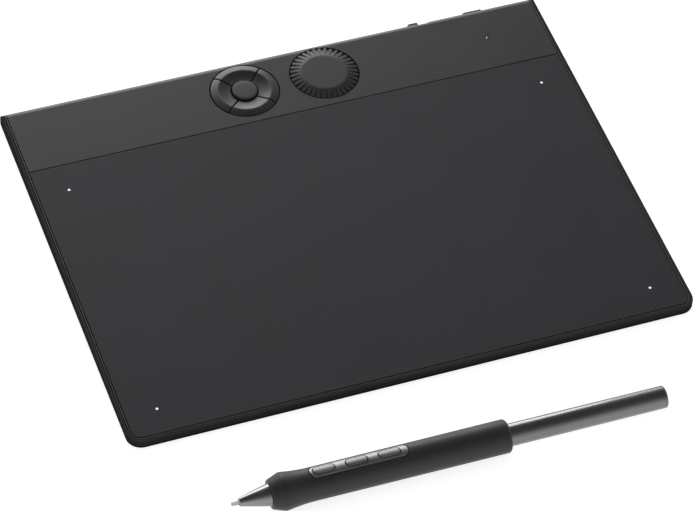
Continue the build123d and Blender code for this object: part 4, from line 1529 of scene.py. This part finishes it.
    def controls(self) -> None:
        """Button plate with its three windows, and the buttons."""
        middle, gap = (self.plate_start + self.plate_end) / 2, self.plate_gap
        plate = cushion(self.plate_end - self.plate_start - 2 * gap, self.plate_width - 2 * gap,
                        self.plate_corner - gap, self.plate_edge, self.plate_thickness,
                        self.on_skin(middle, self.plate_rise), 10).build("pen_button_frame")
        length, width = self.button_length, self.button_width
        for place in self.buttons:
            self.cut_opening(plate, place, length + 2 * self.gap, width + 2 * self.gap,
                             (width + 2 * self.gap) / 2 - HAIR)
        self.laid(plate, "pen_button_plate")
        for name, place in zip(("front", "middle", "rear"), self.buttons):
            button = cushion(length, width, width / 2 - HAIR, self.button_edge, self.button_thickness,
                             self.on_skin(place, self.button_rise), 6)
            self.laid(button.build(f"pen_button_{name}_cap"), f"pen_button_{name}")

    def build(self) -> None:
        """Make every piece of the pen that shows, from the nose to the tail."""
        self.laid(self.turned("pen_nose", self.nose_outline), "pen_nose_cone")
        self.laid(self.turned("pen_nib_point", self.nib_outline, 64), "pen_nib")
        self.grip()
        self.controls()
        self.laid(self.turned("pen_tail_tube", self.shaft_outline), "pen_tail_shaft")
        edge = arc((self.tail_radius - self.chamfer, self.chamfer), self.chamfer, 0, -90)
        profile = [*self.cap_outline, *((self.length - distance, radius) for radius, distance in edge)]
        self.laid(self.turned("pen_tail_end", [*profile, (self.length, 0)]), "pen_tail_cap")


@dataclass
class Studio:
    """Floor, lamp, world and camera."""

    deck: Deck
    focal_pixels: float = 3518.595
    azimuth: float = -22.464
    elevation: float = 48.246
    roll: float = 3.801
    offset_x: float = 1.83
    offset_y: float = -13.692
    distance: float = 1300.548
    aim_y: float = -0.75
    image_width: int = 696
    sensor: float = 36.0
    floor_side: float = 8.0
    floor_bounce: float = 0.35
    floor_glow: float = 0.78
    floor_shade: float = 0.62
    white: Colour = (1.0, 1.0, 1.0)
    sky: Colour = (0.5, 0.5, 0.5)
    mirrored_sky: tuple[Point, ...] = ((0.0, 1.0), (0.25, 0.95), (0.5, 0.5), (0.75, 0.18), (1.0, 0.04))
    lamp_place: Triple = (0.12, 1.33, 0.55)
    lamp_side: float = 0.9
    lamp_power: float = 10.5

    def camera(self) -> None:
        """Camera at the photograph's place, with its focal length."""
        azimuth, elevation, roll = (math.radians(a) for a in (self.azimuth, self.elevation, self.roll))
        back = Vector((math.sin(azimuth) * math.cos(elevation), -math.cos(azimuth) * math.cos(elevation),
                       math.sin(elevation)))
        right = Vector((math.cos(azimuth), math.sin(azimuth), 0))
        up = back.cross(right)
        turned_right = right * math.cos(roll) + up * math.sin(roll)
        turned_up = up * math.cos(roll) - right * math.sin(roll)
        place = turned_right * self.offset_x + turned_up * self.offset_y + back * self.distance
        place.y += self.deck.middle_y + self.aim_y
        basis = Matrix((turned_right, turned_up, back)).transposed().to_4x4()
        data = bpy.data.cameras.new("camera")
        data.sensor_width = self.sensor
        data.lens = self.focal_pixels * self.sensor / self.image_width
        data.clip_end = 20.0
        camera = linked("camera", data)
        camera.matrix_world = Matrix.Translation(place * MM) @ basis
        bpy.context.scene.camera = camera

    def floor(self) -> None:
        """Pale floor that stays white to the camera and in reflections, and keeps the shadow."""
        data = bpy.data.meshes.new("floor")
        half = self.floor_side / 2
        data.from_pydata([(-half, -half, 0), (half, -half, 0), (half, half, 0), (-half, half, 0)], [],
                         [(0, 1, 2, 3)])
        material, tree = new_material("floor_paper")
        seen = tree.ray("Camera") + tree.ray("Glossy") + tree.ray("Transmission")
        paper, shade = (tree.add("ShaderNodeBsdfDiffuse", {}, {"Color": tinted(self.white, tone)})
                        for tone in (self.floor_bounce, self.floor_shade))
        glow = tree.add("ShaderNodeEmission", {}, {"Color": self.white, "Strength": self.floor_glow})
        shown = tree.add("ShaderNodeAddShader", {}, {0: glow, 1: shade})
        tree.add("ShaderNodeOutputMaterial", {}, {
            "Surface": tree.add("ShaderNodeMixShader", {}, {0: seen, 1: paper, 2: shown})})
        data.materials.append(material)
        linked("floor", data)

    def world(self) -> None:
        """Even light, in reflections bright below and darker overhead, and white to the camera."""
        world = bpy.data.worlds.new("studio")
        world.use_nodes = True
        bpy.context.scene.world = world
        tree = ShaderTree(world.node_tree)
        height = tree.height(tree.add("ShaderNodeTexCoord", output="Generated"))
        stops = [(place, tinted(self.white, tone)) for place, tone in self.mirrored_sky]
        mirrored = tree.add("ShaderNodeValToRGB", {"stops": stops}, {0: height})
        light = tree.mix(tree.ray("Glossy"), self.sky, mirrored)
        colour = tree.mix(tree.ray("Camera"), light, self.white)
        tree.add("ShaderNodeOutputWorld", {}, {
            "Surface": tree.add("ShaderNodeBackground", {}, {"Color": colour, "Strength": 1.0})})

    def lamp(self) -> None:
        """Square soft lamp behind the tablet, which points at it."""
        data = bpy.data.lights.new("rear_soft_box", "AREA")
        data.shape = "SQUARE"
        data.size = self.lamp_side
        data.energy = self.lamp_power
        place = Vector(self.lamp_place)
        aim = (-place).to_track_quat("-Z", "Y").to_matrix().to_4x4()
        linked("rear_soft_box", data).matrix_world = Matrix.Translation(place) @ aim

    def build(self) -> None:
        """Set the whole studio."""
        bpy.context.scene.view_settings.view_transform = "Standard"
        self.camera()
        self.floor()
        self.world()
        self.lamp()


def main() -> None:
    """Load the frame, build the sub-assemblies in order and note the sizes."""
    logging.basicConfig(level=logging.INFO, format="%(name)s: %(message)s")
    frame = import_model()
    kit = Kit(frame, {finish.name: finish.material() for finish in FINISHES}, Repeater("repeat_on_places"))
    deck = Deck()
    kit.dress_nodes()
    Tablet(kit, deck).build()
    RingKeys(kit, deck).build()
    Dial(kit, deck).build()
    Pen(kit, deck).build()
    Studio(deck).build()


if __name__ == "__main__":
    main()
